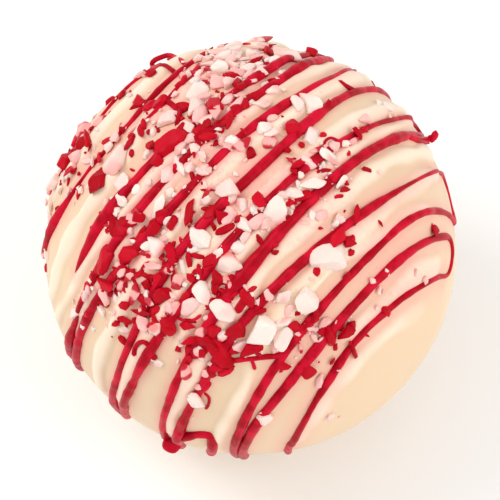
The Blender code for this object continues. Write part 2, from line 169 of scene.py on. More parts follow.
# Loose ends, loops and links of red: thickness, then points right and up in mm
RED_TRAILS = (
    (0.9, ((-16.1, 21.4), (-14.1, 22.8), (-12.5, 22.7), (-10.9, 21.7), (-9.6, 22.2))),
    (0.8, ((13.5, 25.9), (14.8, 25.3), (16.8, 24.6))),
    (1.3, ((24.4, 17.9), (26.2, 17.3), (27.4, 17.0), (28.4, 17.5), (28.9, 18.6))),
    (0.9, ((-15.3, 28.5), (-15.1, 29.3), (-14.0, 29.9), (-12.3, 30.1), (-10.1, 29.2))),
    (1.5, ((-10.8, -28.9), (-8.2, -28.7), (-6.3, -28.9), (-5.8, -30.3), (-6.0, -31.3))),
    (0.9, ((-2.8, -17.2), (-0.8, -16.9), (2.4, -16.6), (4.4, -16.4), (6.4, -15.4))),
)
# Thinner ones that the solid leaves out, set out in the same way
FINE_TRAILS = (
    (1.0, ((-22.2, -5.1), (-23.1, -6.4), (-23.7, -7.6), (-22.9, -8.3), (-22.0, -8.7))),
    (0.9, ((-22.3, -5.6), (-21.7, -6.6), (-22.0, -7.3))),
    (0.8, ((-17.7, -16.2), (-17.6, -15.0), (-16.9, -14.2), (-16.0, -14.2), (-15.3, -15.1))),
    (0.8, ((-15.3, 28.5), (-14.2, 28.3), (-13.0, 28.3), (-11.8, 27.9))),
    (0.4, ((-16.6, -3.6), (-16.5, -2.8), (-15.9, -2.1), (-15.2, -1.8))),
    (0.5, ((-11.8, -10.3), (-10.2, -10.9), (-8.6, -10.7), (-7.4, -9.9))),
    (0.6, ((0.6, -14.9), (1.0, -15.8), (1.9, -16.4))),
    (0.5, ((-7.2, -22.1), (-6.4, -23.0), (-6.5, -24.2), (-7.0, -24.9))),
    (0.9, ((-20.7, 8.2), (-19.7, 8.7), (-18.7, 9.1))),
    (1.2, ((-6.3, -20.3), (-7.1, -21.4), (-8.2, -21.6))),
    (0.5, ((11.4, 15.0), (11.3, 16.3), (12.2, 17.0), (13.4, 16.9), (14.2, 16.8))),
    (0.8, ((-16.5, -3.4), (-15.8, -4.1), (-14.2, -4.0), (-12.8, -3.2), (-12.0, -1.9))),
    (0.8, ((-9.8, 14.2), (-9.2, 12.4), (-8.7, 10.4))),
    (0.7, ((-7.7, 12.6), (-8.1, 11.3), (-8.8, 10.1))),
    (0.6, ((-25.3, -4.8), (-25.4, -6.6), (-26.3, -8.4))),
    (0.6, ((-5.4, 29.6), (-6.3, 28.5), (-7.4, 27.5))),
    (0.6, ((0.2, -16.8), (0.5, -17.6), (0.8, -18.6))),
)
END_BLOB = (-12.5, -31.2, 3.2)  # where two passes hang over the edge: right, up, width
BLOB_RISE = 0.6 * MM
BLOB_GRID = (14, 20)
BLOB_WAVES = (0.12, 1.6, 5)  # of its radius, over its radius
RED_COVER = 0.45  # how far from its middle a pass covers the coat, over its thickness
STAIN_REACH = 1.1 * MM  # how far from red drizzle the coat is stained
TOUCH_REACH = 0.5 * MM  # and how far from it a piece lies on it

# Peppermint that stands out: right, up, length and width in mm, and its turn in degrees
RED_PIECES = (
    (-12.8, 16.7, 6.2, 3.8, 36),
    (-23.4, 10.7, 3.8, 3.2, 50),
    (-21.9, -1.4, 4.6, 2.4, 75),
    (-4.9, -15.8, 5.8, 3.2, 132),
    (-1.9, -12.5, 3.2, 2.7, 20),
    (6.5, 18.9, 3.0, 2.5, 60),
    (-12.8, -11.6, 3.6, 2.7, 130),
    (13.7, 1.9, 3.4, 2.2, 35),
    (-28.7, 13.9, 3.8, 2.8, 65),
    (-25.8, 16.2, 2.7, 2.3, 10),
    (-20.0, 24.3, 2.1, 1.6, 80),
    (-0.6, -7.4, 2.9, 2.1, 100),
    (12.5, -13.3, 3.9, 2.2, 100),
    (8.8, -18.6, 3.2, 2.2, 140),
    (-5.3, 21.4, 3.8, 1.9, 100),
    (-7.3, -12.5, 3.2, 2.1, 15),
    (-19.6, -10.8, 2.4, 1.4, 10),
    (-18.0, -6.9, 3.2, 1.7, 65),
    (-22.6, -6.9, 3.0, 2.1, 110),
    (-13.5, -7.2, 3.4, 2.5, 25),
    (-3.4, 19.7, 3.0, 1.3, 80),
    (-27.5, 16.9, 3.2, 1.8, 75),
    (-16.6, 18.3, 2.8, 1.2, 95),
    (16.3, 5.4, 3.0, 1.3, 85),
)
WHITE_PIECES = (
    (-20.8, 13.9, 4.6, 4.0, 20),
    (-20.2, 10.8, 3.2, 2.8, 150),
    (2.0, -12.9, 5.2, 4.4, 100),
    (5.0, -13.5, 3.8, 3.0, 100),
    (-3.6, 9.3, 4.2, 3.1, 150),
    (3.7, 6.1, 4.4, 3.8, 50),
    (-1.1, 3.8, 2.6, 2.0, 110),
    (9.3, 17.5, 3.9, 2.5, 80),
    (7.2, 22.4, 3.2, 2.4, 80),
    (9.9, 22.7, 3.8, 3.3, 100),
    (-3.7, -9.4, 4.6, 2.8, 175),
    (-7.5, -6.6, 3.8, 2.6, 125),
    (8.8, -7.7, 4.4, 3.8, 60),
    (12.4, -1.3, 6.0, 4.2, 15),
    (-8.1, -23.5, 3.4, 2.2, 115),
    (2.3, -26.1, 2.4, 1.9, 20),
    (-10.9, 12.9, 3.9, 1.2, 115),
    (-8.3, 25.1, 4.2, 3.6, 40),
    (9.6, 10.3, 4.4, 2.1, 20),
    (-13.2, 20.7, 3.2, 2.5, 15),
    (-14.1, 6.2, 4.0, 2.2, 60),
    (-7.3, 1.7, 5.4, 2.9, 130),
    (-1.8, 0.4, 3.2, 2.7, 160),
    (-3.5, -2.4, 3.8, 3.0, 10),
    (-30.1, 10.3, 3.0, 2.2, 80),
    (5.7, 30.1, 4.2, 2.0, 15),
)
PINK_PIECES = (
    (-23.5, 20.2, 3.2, 2.9, 30),
    (-26.4, 18.9, 3.2, 2.9, 70),
    (14.0, 4.8, 2.3, 1.9, 20),
    (10.9, -20.3, 2.3, 1.4, 80),
    (-9.3, -8.8, 4.2, 2.6, 30),
    (-1.4, -15.1, 3.0, 1.7, 10),
    (-16.4, -11.2, 2.4, 2.0, 110),
    (3.4, 20.4, 2.1, 1.6, 20),
    (12.9, 15.8, 2.2, 1.6, 10),
    (17.7, 20.1, 2.6, 1.8, 40),
    (-4.7, 26.2, 2.9, 2.5, 10),
    (-15.1, -2.5, 3.2, 1.7, 5),
    (-19.7, -3.0, 2.6, 2.0, 100),
)
# Smaller ones that the solid leaves out
SMALLER_PIECES = {
    "red": (
        (-27.3, 12.5, 1.8, 1.3, 70),
        (-23.2, 14.3, 2.0, 0.8, 95),
        (-18.2, 16.6, 2.8, 1.6, 60),
        (-20.6, 17.2, 1.3, 0.9, 20),
        (-13.9, 22.4, 2.6, 1.6, 20),
        (-10.6, 22.3, 2.4, 1.6, 150),
        (-15.6, 22.4, 2.4, 1.5, 40),
        (-14.7, 18.9, 1.8, 0.7, 120),
        (-7.0, 18.6, 2.8, 1.4, 25),
        (-5.2, 16.5, 1.4, 0.9, 45),
        (-8.4, 17.4, 2.4, 0.7, 20),
        (-10.8, 24.9, 2.0, 0.8, 40),
        (-4.4, 30.9, 1.6, 0.7, 20),
        (-2.9, 31.2, 1.7, 0.7, 15),
        (-0.5, 31.4, 1.4, 0.8, 20),
        (-2.4, 26.6, 2.0, 1.1, 120),
        (-1.5, 24.7, 1.9, 1.4, 60),
        (1.0, 24.0, 2.8, 1.6, 45),
        (-1.0, 22.6, 2.4, 1.7, 100),
        (4.0, 26.1, 2.6, 1.2, 10),
        (-17.4, 5.2, 2.8, 2.4, 80),
        (-15.0, 3.4, 3.2, 2.2, 40),
        (-12.0, 0.8, 1.3, 0.9, 55),
        (-9.4, 0.9, 1.6, 0.8, 130),
        (-3.6, 0.9, 1.6, 0.8, 50),
        (-23.9, -4.1, 1.5, 1.0, 60),
        (-25.1, -10.1, 1.9, 1.3, 60),
        (-18.2, -0.5, 3.6, 2.0, 10),
        (-15.9, -4.9, 1.5, 1.1, 90),
        (-14.9, -8.8, 2.4, 0.9, 60),
        (-14.6, -10.6, 1.5, 1.0, 80),
        (-9.4, -1.9, 3.6, 1.0, 95),
        (-8.3, -0.9, 2.8, 0.8, 170),
        (-12.3, -2.6, 1.9, 1.2, 60),
        (-10.0, -7.3, 2.4, 1.2, 60),
        (-3.2, -6.6, 2.6, 1.9, 30),
        (0.4, -5.8, 1.4, 0.9, 10),
        (-5.6, -12.4, 2.4, 1.9, 60),
        (-8.6, -14.0, 3.4, 1.5, 10),
        (-9.3, -15.3, 2.4, 1.5, 70),
        (-9.0, -10.8, 2.4, 0.7, 165),
        (0.9, -9.6, 2.8, 0.9, 15),
        (-6.9, -15.4, 2.2, 0.9, 60),
        (-5.8, -18.9, 2.0, 1.3, 75),
        (-3.7, -18.1, 2.4, 1.2, 20),
        (6.5, 13.9, 1.6, 0.7, 25),
        (8.6, 8.3, 3.2, 1.5, 15),
        (10.4, 12.2, 1.6, 0.7, 95),
        (1.9, 6.2, 1.2, 0.7, 80),
        (1.0, 4.6, 2.4, 1.2, 20),
        (11.2, 17.5, 1.6, 0.9, 20),
        (17.6, 18.7, 1.7, 0.8, 0),
        (17.9, 12.3, 2.1, 0.8, 175),
        (14.9, 10.0, 2.2, 0.7, 118),
        (13.3, 8.0, 1.3, 0.7, 15),
        (15.1, 1.2, 2.0, 1.5, 30),
        (10.2, -3.3, 1.3, 1.0, 60),
        (15.0, -4.0, 1.5, 1.0, 50),
        (7.4, -9.7, 1.4, 0.8, 10),
        (11.3, -12.1, 2.3, 1.5, 60),
        (13.2, -15.2, 1.5, 0.9, 90),
        (14.2, -11.6, 2.2, 0.9, 75),
        (11.9, 22.3, 1.7, 1.2, 60),
        (-19.8, -14.2, 2.0, 1.4, 160),
        (-21.1, 6.7, 2.6, 0.9, 120),
        (-20.1, 12.5, 1.1, 0.9, 80),
        (-9.1, 4.6, 1.3, 0.5, 95),
        (-6.7, 6.4, 1.6, 0.8, 160),
        (1.3, 1.7, 2.2, 0.9, 115),
        (-4.2, -4.8, 1.4, 0.7, 120),
        (-5.4, -6.0, 2.2, 0.9, 95),
        (10.8, 3.4, 1.0, 0.5, 0),
        (15.1, 14.6, 0.8, 0.6, 90),
        (-14.9, -16.6, 1.3, 0.9, 30),
        (-10.8, 18.4, 2.4, 1.6, 50),
        (-6.6, -14.0, 3.0, 2.0, 150),
        (-3.4, -17.6, 2.6, 1.8, 60),
        (-2.4, -15.3, 2.4, 1.6, 20),
        (-32.1, -2.6, 1.1, 0.6, 90),
        (-30.9, 10.6, 1.0, 0.5, 150),
        (-29.1, 10.1, 0.9, 0.6, 130),
        (-21.3, 7.0, 2.2, 0.7, 115),
    ),
    "white": (
        (-15.2, 18.4, 1.6, 1.4, 30),
        (-9.4, 18.9, 3.2, 1.8, 135),
        (-7.4, 16.8, 1.5, 1.2, 60),
        (-8.5, 15.6, 2.0, 1.5, 100),
        (-7.3, 14.5, 2.2, 1.4, 110),
        (-6.9, 12.5, 2.4, 1.4, 115),
        (-1.7, 31.2, 1.6, 1.2, 60),
        (-5.5, 30.5, 2.0, 1.5, 80),
        (0.6, 30.7, 2.5, 2.2, 30),
        (-2.5, 28.6, 2.2, 1.8, 100),
        (-0.5, 28.3, 2.3, 1.8, 20),
        (1.4, 29.0, 2.1, 1.7, 70),
        (3.8, 29.3, 2.6, 2.2, 60),
        (5.0, 27.2, 1.7, 1.5, 60),
        (-12.4, 8.9, 2.1, 1.5, 60),
        (-10.0, 9.4, 1.4, 0.9, 80),
        (-14.6, 0.8, 3.6, 2.4, 130),
        (-7.0, 7.4, 2.2, 1.5, 20),
        (-15.9, -7.5, 3.0, 1.0, 85),
        (-10.3, -2.8, 2.6, 0.8, 100),
        (-8.4, 0.2, 3.0, 1.3, 5),
        (-4.9, -0.6, 1.8, 1.4, 40),
        (7.7, 11.3, 1.6, 1.1, 140),
        (6.5, 5.6, 2.4, 1.0, 95),
        (-1.2, 6.8, 2.4, 1.7, 100),
        (0.6, 6.2, 1.5, 1.1, 60),
        (12.6, 13.9, 1.8, 1.3, 30),
        (11.3, 12.8, 1.6, 0.8, 100),
        (14.7, 16.4, 1.7, 1.3, 60),
        (20.2, 22.8, 1.5, 1.0, 20),
        (21.2, 21.8, 1.8, 1.2, 150),
        (1.7, 22.4, 2.4, 1.6, 30),
        (3.5, 24.4, 2.2, 1.5, 20),
        (-20.0, -12.3, 2.4, 1.2, 20),
        (-20.9, -7.3, 2.4, 1.3, 90),
        (-23.3, -9.3, 2.3, 1.4, 150),
        (-12.7, 4.6, 1.7, 1.2, 40),
        (-17.3, 9.0, 1.8, 1.2, 60),
        (-31.0, 7.4, 2.4, 1.4, 75),
        (-8.6, 22.4, 3.4, 2.6, 100),
        (-6.7, 19.6, 3.2, 2.0, 60),
        (-4.8, 28.4, 3.0, 2.4, 20),
        (-2.2, 30.2, 2.6, 2.0, 60),
        (1.5, 27.2, 2.6, 2.0, 130),
        (5.2, -11.0, 2.8, 1.6, 10),
        (5.3, -7.4, 3.0, 2.2, 60),
        (2.1, 18.8, 2.8, 2.0, 30),
        (9.9, 29.2, 1.8, 1.2, 60),
        (-31.9, -1.0, 1.9, 1.5, 90),
        (-32.0, 2.6, 1.3, 0.9, 10),
        (-29.6, 9.4, 2.2, 1.6, 60),
        (-28.6, 11.4, 1.9, 1.3, 45),
        (-19.9, 7.4, 2.5, 1.6, 140),
        (-27.2, -9.7, 2.7, 1.5, 60),
        (-25.8, -11.7, 1.4, 1.0, 50),
    ),
    "pink": (
        (-26.7, 14.2, 2.6, 2.0, 50),
        (-7.6, 20.9, 3.2, 2.2, 80),
        (-10.6, 15.6, 2.6, 1.8, 45),
        (-3.2, 22.9, 2.0, 1.5, 60),
        (2.2, 25.6, 1.7, 1.0, 40),
        (2.4, 30.3, 1.7, 1.1, 20),
        (-7.7, -15.6, 2.8, 1.2, 120),
        (-5.9, -17.4, 1.3, 0.9, 150),
        (-6.9, -18.9, 1.7, 1.2, 80),
        (1.2, -8.4, 1.8, 1.2, 80),
        (-2.8, -3.9, 2.0, 1.0, 60),
        (5.5, -4.6, 1.4, 0.6, 100),
        (9.3, -12.1, 2.1, 1.0, 170),
        (10.9, -13.8, 1.4, 0.8, 40),
        (-13.2, 2.7, 1.5, 1.0, 10),
        (-12.3, -8.6, 2.0, 1.5, 100),
        (-6.6, -10.4, 2.2, 1.1, 10),
        (10.6, 5.0, 2.4, 1.8, 50),
        (4.1, -15.0, 2.8, 1.7, 20),
        (-24.5, -6.0, 2.0, 1.2, 80),
        (-31.4, 4.6, 2.2, 1.2, 80),
        (-12.8, 11.9, 3.4, 2.2, 60),
        (-7.2, 23.9, 2.6, 2.0, 30),
        (-22.3, 6.8, 2.0, 1.0, 75),
        (-30.9, 9.2, 1.6, 1.2, 80),
        (-25.0, -6.9, 1.9, 1.0, 70),
        (-28.0, 8.9, 1.5, 0.9, 50),
    ),
    "striped": (
        (-1.2, 16.0, 2.9, 1.9, 30),
        (2.9, 16.8, 2.4, 1.8, 60),
    ),
}
# Patches of crumbs strewn between them: middle right and up, spread right and up in mm,
# how many, the share that is red, and which side of the sphere
CRUMB_PATCHES = (
    (-3.0, 28.0, 5.0, 2.4, 14, 0.25, "front"),
    (-9.0, 19.0, 6.5, 5.0, 12, 0.40, "front"),
    (-2.0, 9.0, 8.0, 6.0, 8, 0.30, "front"),
    (-18.0, -3.0, 5.0, 7.0, 10, 0.45, "front"),
    (-7.0, -12.0, 5.0, 4.0, 7, 0.60, "front"),
    (9.0, 8.0, 6.5, 6.5, 6, 0.30, "front"),
    (9.0, -14.0, 4.5, 6.0, 4, 0.40, "front"),
    (-26.0, 13.0, 3.0, 5.0, 5, 0.40, "front"),
    (22.0, -2.0, 3.5, 7.0, 5, 0.35, "front"),
    (-6.0, 29.0, 10.0, 4.0, 10, 0.35, "back"),
    (10.0, 25.0, 8.0, 5.0, 6, 0.35, "back"),
)
CRUMB_SIZES = (1.3, 2.6)
CRUMB_WIDTHS = (0.55, 0.9)  # over their lengths
CRUMB_PINK_FROM = 0.8  # the draw, out of 1, from which a crumb that isn't red is pink
CRUMB_SEED = 24
FULL_PATCH = 12.0  # so many crumbs in a patch leave the coat between them fully dusted
# Heaps that the solid leaves out, set out as the patches, of looser and larger chips
HEAPS = (
    (-3.6, 28.0, 3.4, 2.0, 40, 0.22, "front"),
    (1.5, 30.2, 3.2, 1.0, 16, 0.30, "front"),
    (-9.5, 19.5, 5.0, 3.0, 66, 0.60, "front"),
    (-17.5, -2.5, 3.2, 4.6, 90, 0.72, "front"),
    (-9.0, -8.0, 4.8, 3.8, 90, 0.70, "front"),
    (-5.5, 3.0, 4.2, 5.0, 48, 0.50, "front"),
    (-5.5, -15.0, 3.4, 2.2, 36, 0.78, "front"),
    (11.5, -13.5, 2.6, 2.4, 14, 0.60, "front"),
    (9.0, 13.0, 5.0, 4.5, 24, 0.40, "front"),
    (-25.5, 14.5, 2.4, 3.4, 24, 0.50, "front"),
    (-5.0, 29.0, 8.0, 3.0, 20, 0.35, "back"),
)
HEAP_SIZES = (1.5, 3.6)
HEAP_WIDTHS = (0.26, 0.68)  # over their lengths
HEAP_PINK_FROM = 0.6
STRIPED_FROM = 0.84  # the draw, out of 1, from which a chip in a heap is striped
HEAP_SEED = 39
HEAP_REACH = 1.9  # how far from its middle a heap's chips are kept, over its spread
LARGE_LENGTH = 3.0  # a piece longer than this (mm) keeps clear of heaps and finer crumbs
CLEAR_SHARE = 0.34  # how far their middles stay from its own, over both lengths together
# Fine crumbs and dust strewn round the larger pieces: how many for each, their sizes and
# how far away they lie in mm, and the seed
FINE_CRUMBS = (1, (0.5, 1.4), 1.5, 31)
DUST = (1, (0.25, 0.5), 1.5, 32)
FINE_WIDTHS = (0.35, 0.95)  # over their lengths
FINE_LOOSE = 0.3  # how loosely they lie
OWN_SHARE = 0.5  # the share of them that is of the piece's own kind

PIECE_THICKNESS = 0.55  # over its width
PIECE_FULLNESS = 1.15  # over its box, for the corners that it lacks
PIECE_SINK = 0.22  # how far its middle lies above the chocolate, over its thickness
PIECE_RAGGED = 0.17  # how far its corners are pulled about, over its size
PIECE_DRAWS = 26  # random numbers that a piece takes: two for its tilt, the rest for corners
PIECE_TILT = 0.22  # how far it leans either way at most, as a slope
LOOSE_TILT = 2.5  # how much farther it leans in a heap, over that
LOOSE_LIFT = 0.45  # how much higher it lies in a heap, over its thickness
RED_UNDER = 0.4 * MM  # how much higher it lies on red drizzle
# A chip's planes: how many sides it has, how unevenly they stand round it, over a full
# turn divided by their number, how far sides and tops slope, and how near they are
CHIP_SIDES = (3, 7)  # at least three and fewer than seven
SIDE_UNEVEN = 0.3
SIDE_SLOPES = (-0.4, 0.7)
TOP_SLOPES = (-0.8, 0.8)
PLANE_NEARNESS = (0.75, 1.2)
CHIP_SEEDS = 1e6  # how many different chips the draws choose from
# Rows and columns of points for a piece at least so long (mm), and how sharp its edges are
PIECE_GRIDS = ((2.4, 14, 24, (20, 50)), (1.0, 5, 8, (14, 40)), (0.0, 3, 6, (14, 40)))
PIECE_REACH = 1.7  # its farthest corner, over how far its sides are from the middle
SOFT_ANGLE = math.radians(28)  # edges less sharp than this are shaded as rounded
MARK_SEED = 26
# Where a piece is blushed with red: from where to where on one side, over its size, with
# the power that makes strong ones rare; at its base, which is partly a stain and partly
# painted shade and painted red light bounced from the drizzle, and how much more on red
# drizzle; and all over at most, and how much more amid powder
BLUSHED_SIDE = (0.1, 0.5)
BLUSH_POWER = 1.5
BASE_STAIN_AND_SHADE = (0.3, 0.4)
BLUSHED_OVER = (0.1, 0.3)
BAND_TURN = (4.0, 8.0)  # how far, in radians, the wave of the stripes turns along a piece
# Pieces in the tables with a kind of their own, by how far right and up they are in mm
OWN_KINDS = {
    (-23.5, 20.2): "striped",
    (-26.4, 18.9): "striped",
    (-5.3, 21.4): "striped",
    (-18.0, -6.9): "striped",
    (-7.3, -12.5): "striped",
    (-17.4, 5.2): "striped",
    (-22.6, -6.9): "pink",
}

# Colours, as linear red, green and blue: a darker and a lighter one for each finish
# The coat's darker colour is partly the bare shell's own tan and partly painted shade in the
# troughs between the white strands
COAT_AND_TROUGH_SHADE_COLOURS = ((0.79, 0.58, 0.38), (0.94, 0.79, 0.61))
STAIN_COLOUR = (0.93, 0.38, 0.33)
POWDER_COLOUR = (0.94, 0.44, 0.38)
RED_COLOURS = ((0.37, 0.001, 0.010), (0.62, 0.006, 0.030))
WHITE_SUGAR = ((0.90, 0.70, 0.62), (0.95, 0.86, 0.77))
PINK_SUGAR = ((0.91, 0.44, 0.40), (0.95, 0.72, 0.66))
RED_SUGAR = ((0.31, 0.0, 0.004), (0.72, 0.006, 0.026))
STRIPE_COLOURS = ((0.52, 0.006, 0.02), (0.93, 0.42, 0.39))
# Blush colours: the red coating and stains that chips have, and at a chip's base also painted
# shade and painted red light bounced from the drizzle
PALE_BLUSH_AND_SHADE = (0.90, 0.30, 0.27)
DEEP_BLUSH_AND_SHADE = (0.40, 0.001, 0.006)
FLOOR_COLOURS = ((0.95, 0.95, 0.95), (0.97, 0.97, 0.97))

# Clouds, grain and powder on the finishes: the size of their features, then the noise's
# detail and roughness
COAT_CLOUD = (9 * MM, 3.0)
COAT_GRAIN = (0.8 * MM, 4.0, 0.6)
POWDER_PATCHES = (1.6 * MM, 3.0, 0.6)
RED_CLOUD = (3 * MM, 3.0)
RED_GRAIN = (0.5 * MM, 3.0)
SUGAR_CLOUD = (1.3 * MM, 3.0)
SUGAR_GRAIN = (0.28 * MM, 3.0, 0.6)
FLOOR_CLOUD = (0.2, 2.0)
COAT_BUMP = 0.05 * MM  # how deep its grain is
RED_BUMP = 0.04 * MM
SUGAR_BUMP = 0.05 * MM
# How rough a finish is at its least, and how much more where its cloud is full
COAT_ROUGHNESS = (0.42, 0.15)
RED_ROUGHNESS = (0.26, 0.14)
SUGAR_ROUGHNESS = (0.22, 0.25)
FLOOR_ROUGHNESS = 0.7
# Palest this high and darkest where flat: partly the drizzle's own colour, partly painted shade
# in the troughs
CREST_HEIGHT = 0.6  # how far above the ball, in mm, the coat is at its palest
CREST_SHARE = 0.9  # of the coat's colour, and its cloud has the rest
STAIN_SHARE = (0.35, 0.5)  # how strong the stain is, and how much more amid powder
POWDER_EDGES = (0.42, 0.62)  # from where to where in its noise a patch of powder fills
POWDER_SHARE = (0.35, 0.45)  # how strong powder is, and how much more in its patches
RED_EDGES = (0.35, 0.65)  # from where to where in its cloud red lightens
TONE_SHARE = 0.55  # of the sugar's colour, and its cloud has the rest
BAND_WARP = 3.0  # how far, in radians, its cloud bends the wave of the stripes
BAND_EDGES = (-0.4, 0.6)  # from where to where in that wave red turns to pale pink

# The camera looks at the middle of the ball
CAMERA_DISTANCE = 2.5
VIEW_WIDTH = 77.4 * MM
SENSOR_WIDTH = 36.0
FLOOR_SIZE = 4.0
ROOM_LIGHT = 0.80
# Soft lights: how far right, up and towards the camera they are from the ball, and how
# wide, in metres, and their power in watts
LIGHTS = {
    "key": (-0.45, 0.35, 0.45, 0.40, 2.2),
    "fill": (0.6, -0.1, 0.5, 0.6, 2.2),
}


def view_axes():
    """A matrix whose columns point right, up and towards whoever looks at the sphere."""
    right = np.array((1.0, 0.0, 0.0))
    towards = np.array((0.0, -math.cos(VIEW_TILT), math.sin(VIEW_TILT)))
    return np.column_stack((right, np.cross(towards, right), towards))


def pass_axes():
    """A matrix whose columns point across the passes, along them and up."""
    level = math.cos(PASS_LEAN)
    across = np.array(
        (math.sin(PASS_HEADING) * level, -math.cos(PASS_HEADING) * level, -math.sin(PASS_LEAN))
    )
    along = np.array((math.cos(PASS_HEADING), math.sin(PASS_HEADING), 0.0))
    return np.column_stack((across, along, np.cross(across, along)))


VIEW = view_axes()
PASSES = pass_axes()


def leant(unit, share=1.0):
    """Unit vectors turned towards whoever looks at the sphere, by as much as makes up for
    the height at which strands are seen above it, or away for a share of -1.

    At an angle a from the line of sight the turn is the rise over the radius times the
    tangent of a, up to a limit, and it fades away where the sphere curves out of sight.
    """
    toward = VIEW[:, 2]
    facing = np.clip(unit @ toward, -1.0, 1.0)[..., None]
    away = np.arccos(facing)
    tangent = np.minimum(np.abs(np.tan(away)), STEEPEST)
    turn = share * STRAND_RISE / BALL_RADIUS * tangent
    turn *= ease(-away, -LEAN_FADE[1], -LEAN_FADE[0])
    inwards = toward - facing * unit
    inwards /= np.maximum(np.linalg.norm(inwards, axis=-1, keepdims=True), 1e-9)
    return np.cos(turn) * unit + np.sin(turn) * inwards


def direction(offset, angle):
    """Unit vectors to these offsets across the passes (metres) and angles along them.

    The offset over the radius is the sine of the latitude, and the angle goes round the
    axis across the passes from the top.
    """
    share = np.asarray(offset) / BALL_RADIUS
    circle = np.sqrt(np.maximum(1.0 - share**2, 0.0))
    local = np.stack((share, circle * np.sin(angle), circle * np.cos(angle)), -1)
    return local @ PASSES.T


def place_of(unit):
    """The offset across the passes (metres) and the angle along them of unit vectors."""
    local = unit @ PASSES
    return BALL_RADIUS * local[..., 0], np.arctan2(local[..., 1], local[..., 2])


def seen_at(right, up, width=USUAL_WIDTH, side="front"):
    """The unit vector from the ball's middle to a topping so wide that is seen so far
    right and up (all in mm)."""
    reach = BALL_RADIUS + COAT_RISE + WIDTH_RISE * width * MM
    flat = np.array((right, up)) * MM / reach
    flat /= max(1.0, np.linalg.norm(flat) / OUTERMOST)
    depth = math.sqrt(1.0 - flat @ flat)
    return VIEW @ (*flat, depth if side == "front" else -depth)


def through(values, share):
    """A smooth curve through values at equal steps, read at shares from 0 to 1.

    Between two values it is the cubic that leaves and arrives with the mean slopes there.
    """
    values = np.asarray(values, float)
    place = np.clip(share, 0.0, 1.0) * (len(values) - 1)
    left = np.minimum(place.astype(int), len(values) - 2)
    rest = place - left
    slope = np.gradient(values, axis=0)
    rest = rest.reshape(rest.shape + (1,) * (values.ndim - 1))
    eased = values[left] + (values[left + 1] - values[left]) * rest**2 * (3 - 2 * rest)
    leaving = slope[left] * rest * (1 - rest) ** 2
    arriving = slope[left + 1] * rest**2 * (1 - rest)
    return eased + leaving - arriving


def ease(value, low, high):
    """0 below low, 1 above high, and a smooth step between them."""
    share = np.clip((value - low) / (high - low), 0.0, 1.0)
    return share * share * (3.0 - 2.0 * share)


def uneven(points, amount, size, seed, number=0):
    """Soft unevenness, mostly within this amount either way, different for each number: a
    sum of sine waves of about this length, over the root of how many there are."""
    chance = np.random.default_rng(seed + number)
    ways = chance.normal(size=(WAVE_COUNT, 3))
    ways /= np.linalg.norm(ways, axis=1, keepdims=True)
    lengths = size * chance.uniform(*WAVE_LENGTHS, WAVE_COUNT)
    phases = chance.uniform(0.0, math.tau, WAVE_COUNT)
    total = np.sin(points @ (math.tau * ways / lengths[:, None]).T + phases).sum(-1)
    return amount * (total / math.sqrt(WAVE_COUNT))


def white_relief(unit):
    """How far the coat stands above the ball: the white strands, melted into it.

    Across each strand the height is a flattened raised cosine, it fades at both ends, and
    where strands meet the higher one wins softly.
    """
    offset, angle = place_of(unit)
    places = BALL_RADIUS * unit
    total = np.zeros(offset.shape)
    for number, (first, last, thickness, offsets) in enumerate(WHITE_PASSES):
        degrees = np.degrees(angle)
        share = (degrees - first) / (last - first)
        middle = through(offsets, share) * MM + uneven(places, *WHITE_SWAY, number)
        inside = np.radians(np.minimum(degrees - first, last - degrees))
        circle = np.sqrt(np.maximum(BALL_RADIUS**2 - offset**2, 0.0))
        ends = ease(inside * circle, 0.0, END_FADE)
        half = thickness * MM * (WHITE_HALF + uneven(places, *WHITE_VARIES, number))
        half *= WHITE_TIP + (1.0 - WHITE_TIP) * ends
        across = np.clip(np.abs(offset - middle) / half, 0.0, 1.0)
        swell = 1.0 + uneven(places, *WHITE_SWELL, number)
        profile = (0.5 + 0.5 * np.cos(math.pi * across)) ** WHITE_FLATNESS
        height = WHITE_RISE * thickness * MM * swell * profile
        total += (np.maximum(height * ends, 0.0) / MM) ** 3
    return (np.cbrt(total) + sum(uneven(places, *waves) for waves in COAT_WAVES)) * MM


def red_nearness(unit, reach):
    """How near a place is to red drizzle: 1 under a strand, falling to 0 beside it."""
    offset, angle = place_of(leant(unit, -1.0))
    degrees = np.degrees(angle)
    nearest = np.full(offset.shape, 1.0)
    for first, last, thickness, offsets in RED_PASSES.values():
        share = (degrees - first) / (last - first)
        aside = np.abs(offset - through(offsets, share) * MM)
        beyond = np.maximum(np.maximum(first - degrees, degrees - last), 0.0)
        aside = np.hypot(aside, np.radians(beyond) * BALL_RADIUS)
        nearest = np.minimum(nearest, np.maximum(aside - RED_COVER * thickness * MM, 0.0))
    return np.exp(-((nearest / reach) ** 2))


def dusted(unit):
    """How much ground peppermint lies about: a bell curve round the middle of each patch
    of crumbs, as deep as the patch is full."""
    total = np.zeros(unit.shape[:-1])
    for right, up, spread_right, spread_up, count, _, side in CRUMB_PATCHES:
        away = (unit - seen_at(right, up, side=side)) @ VIEW * BALL_RADIUS / MM
        far = (away[..., 0] / spread_right) ** 2 + (away[..., 1] / spread_up) ** 2
        far += (away[..., 2] / max(spread_right, spread_up)) ** 2
        total += count / FULL_PATCH * np.exp(-0.5 * far)
    return np.minimum(total, 1.0)


def on_coat(unit, rise=0.0):
    """Points this far above the coat in these directions."""
    reach = BALL_RADIUS + white_relief(unit) + rise
    return unit * np.asarray(reach)[..., None] + BALL_MIDDLE


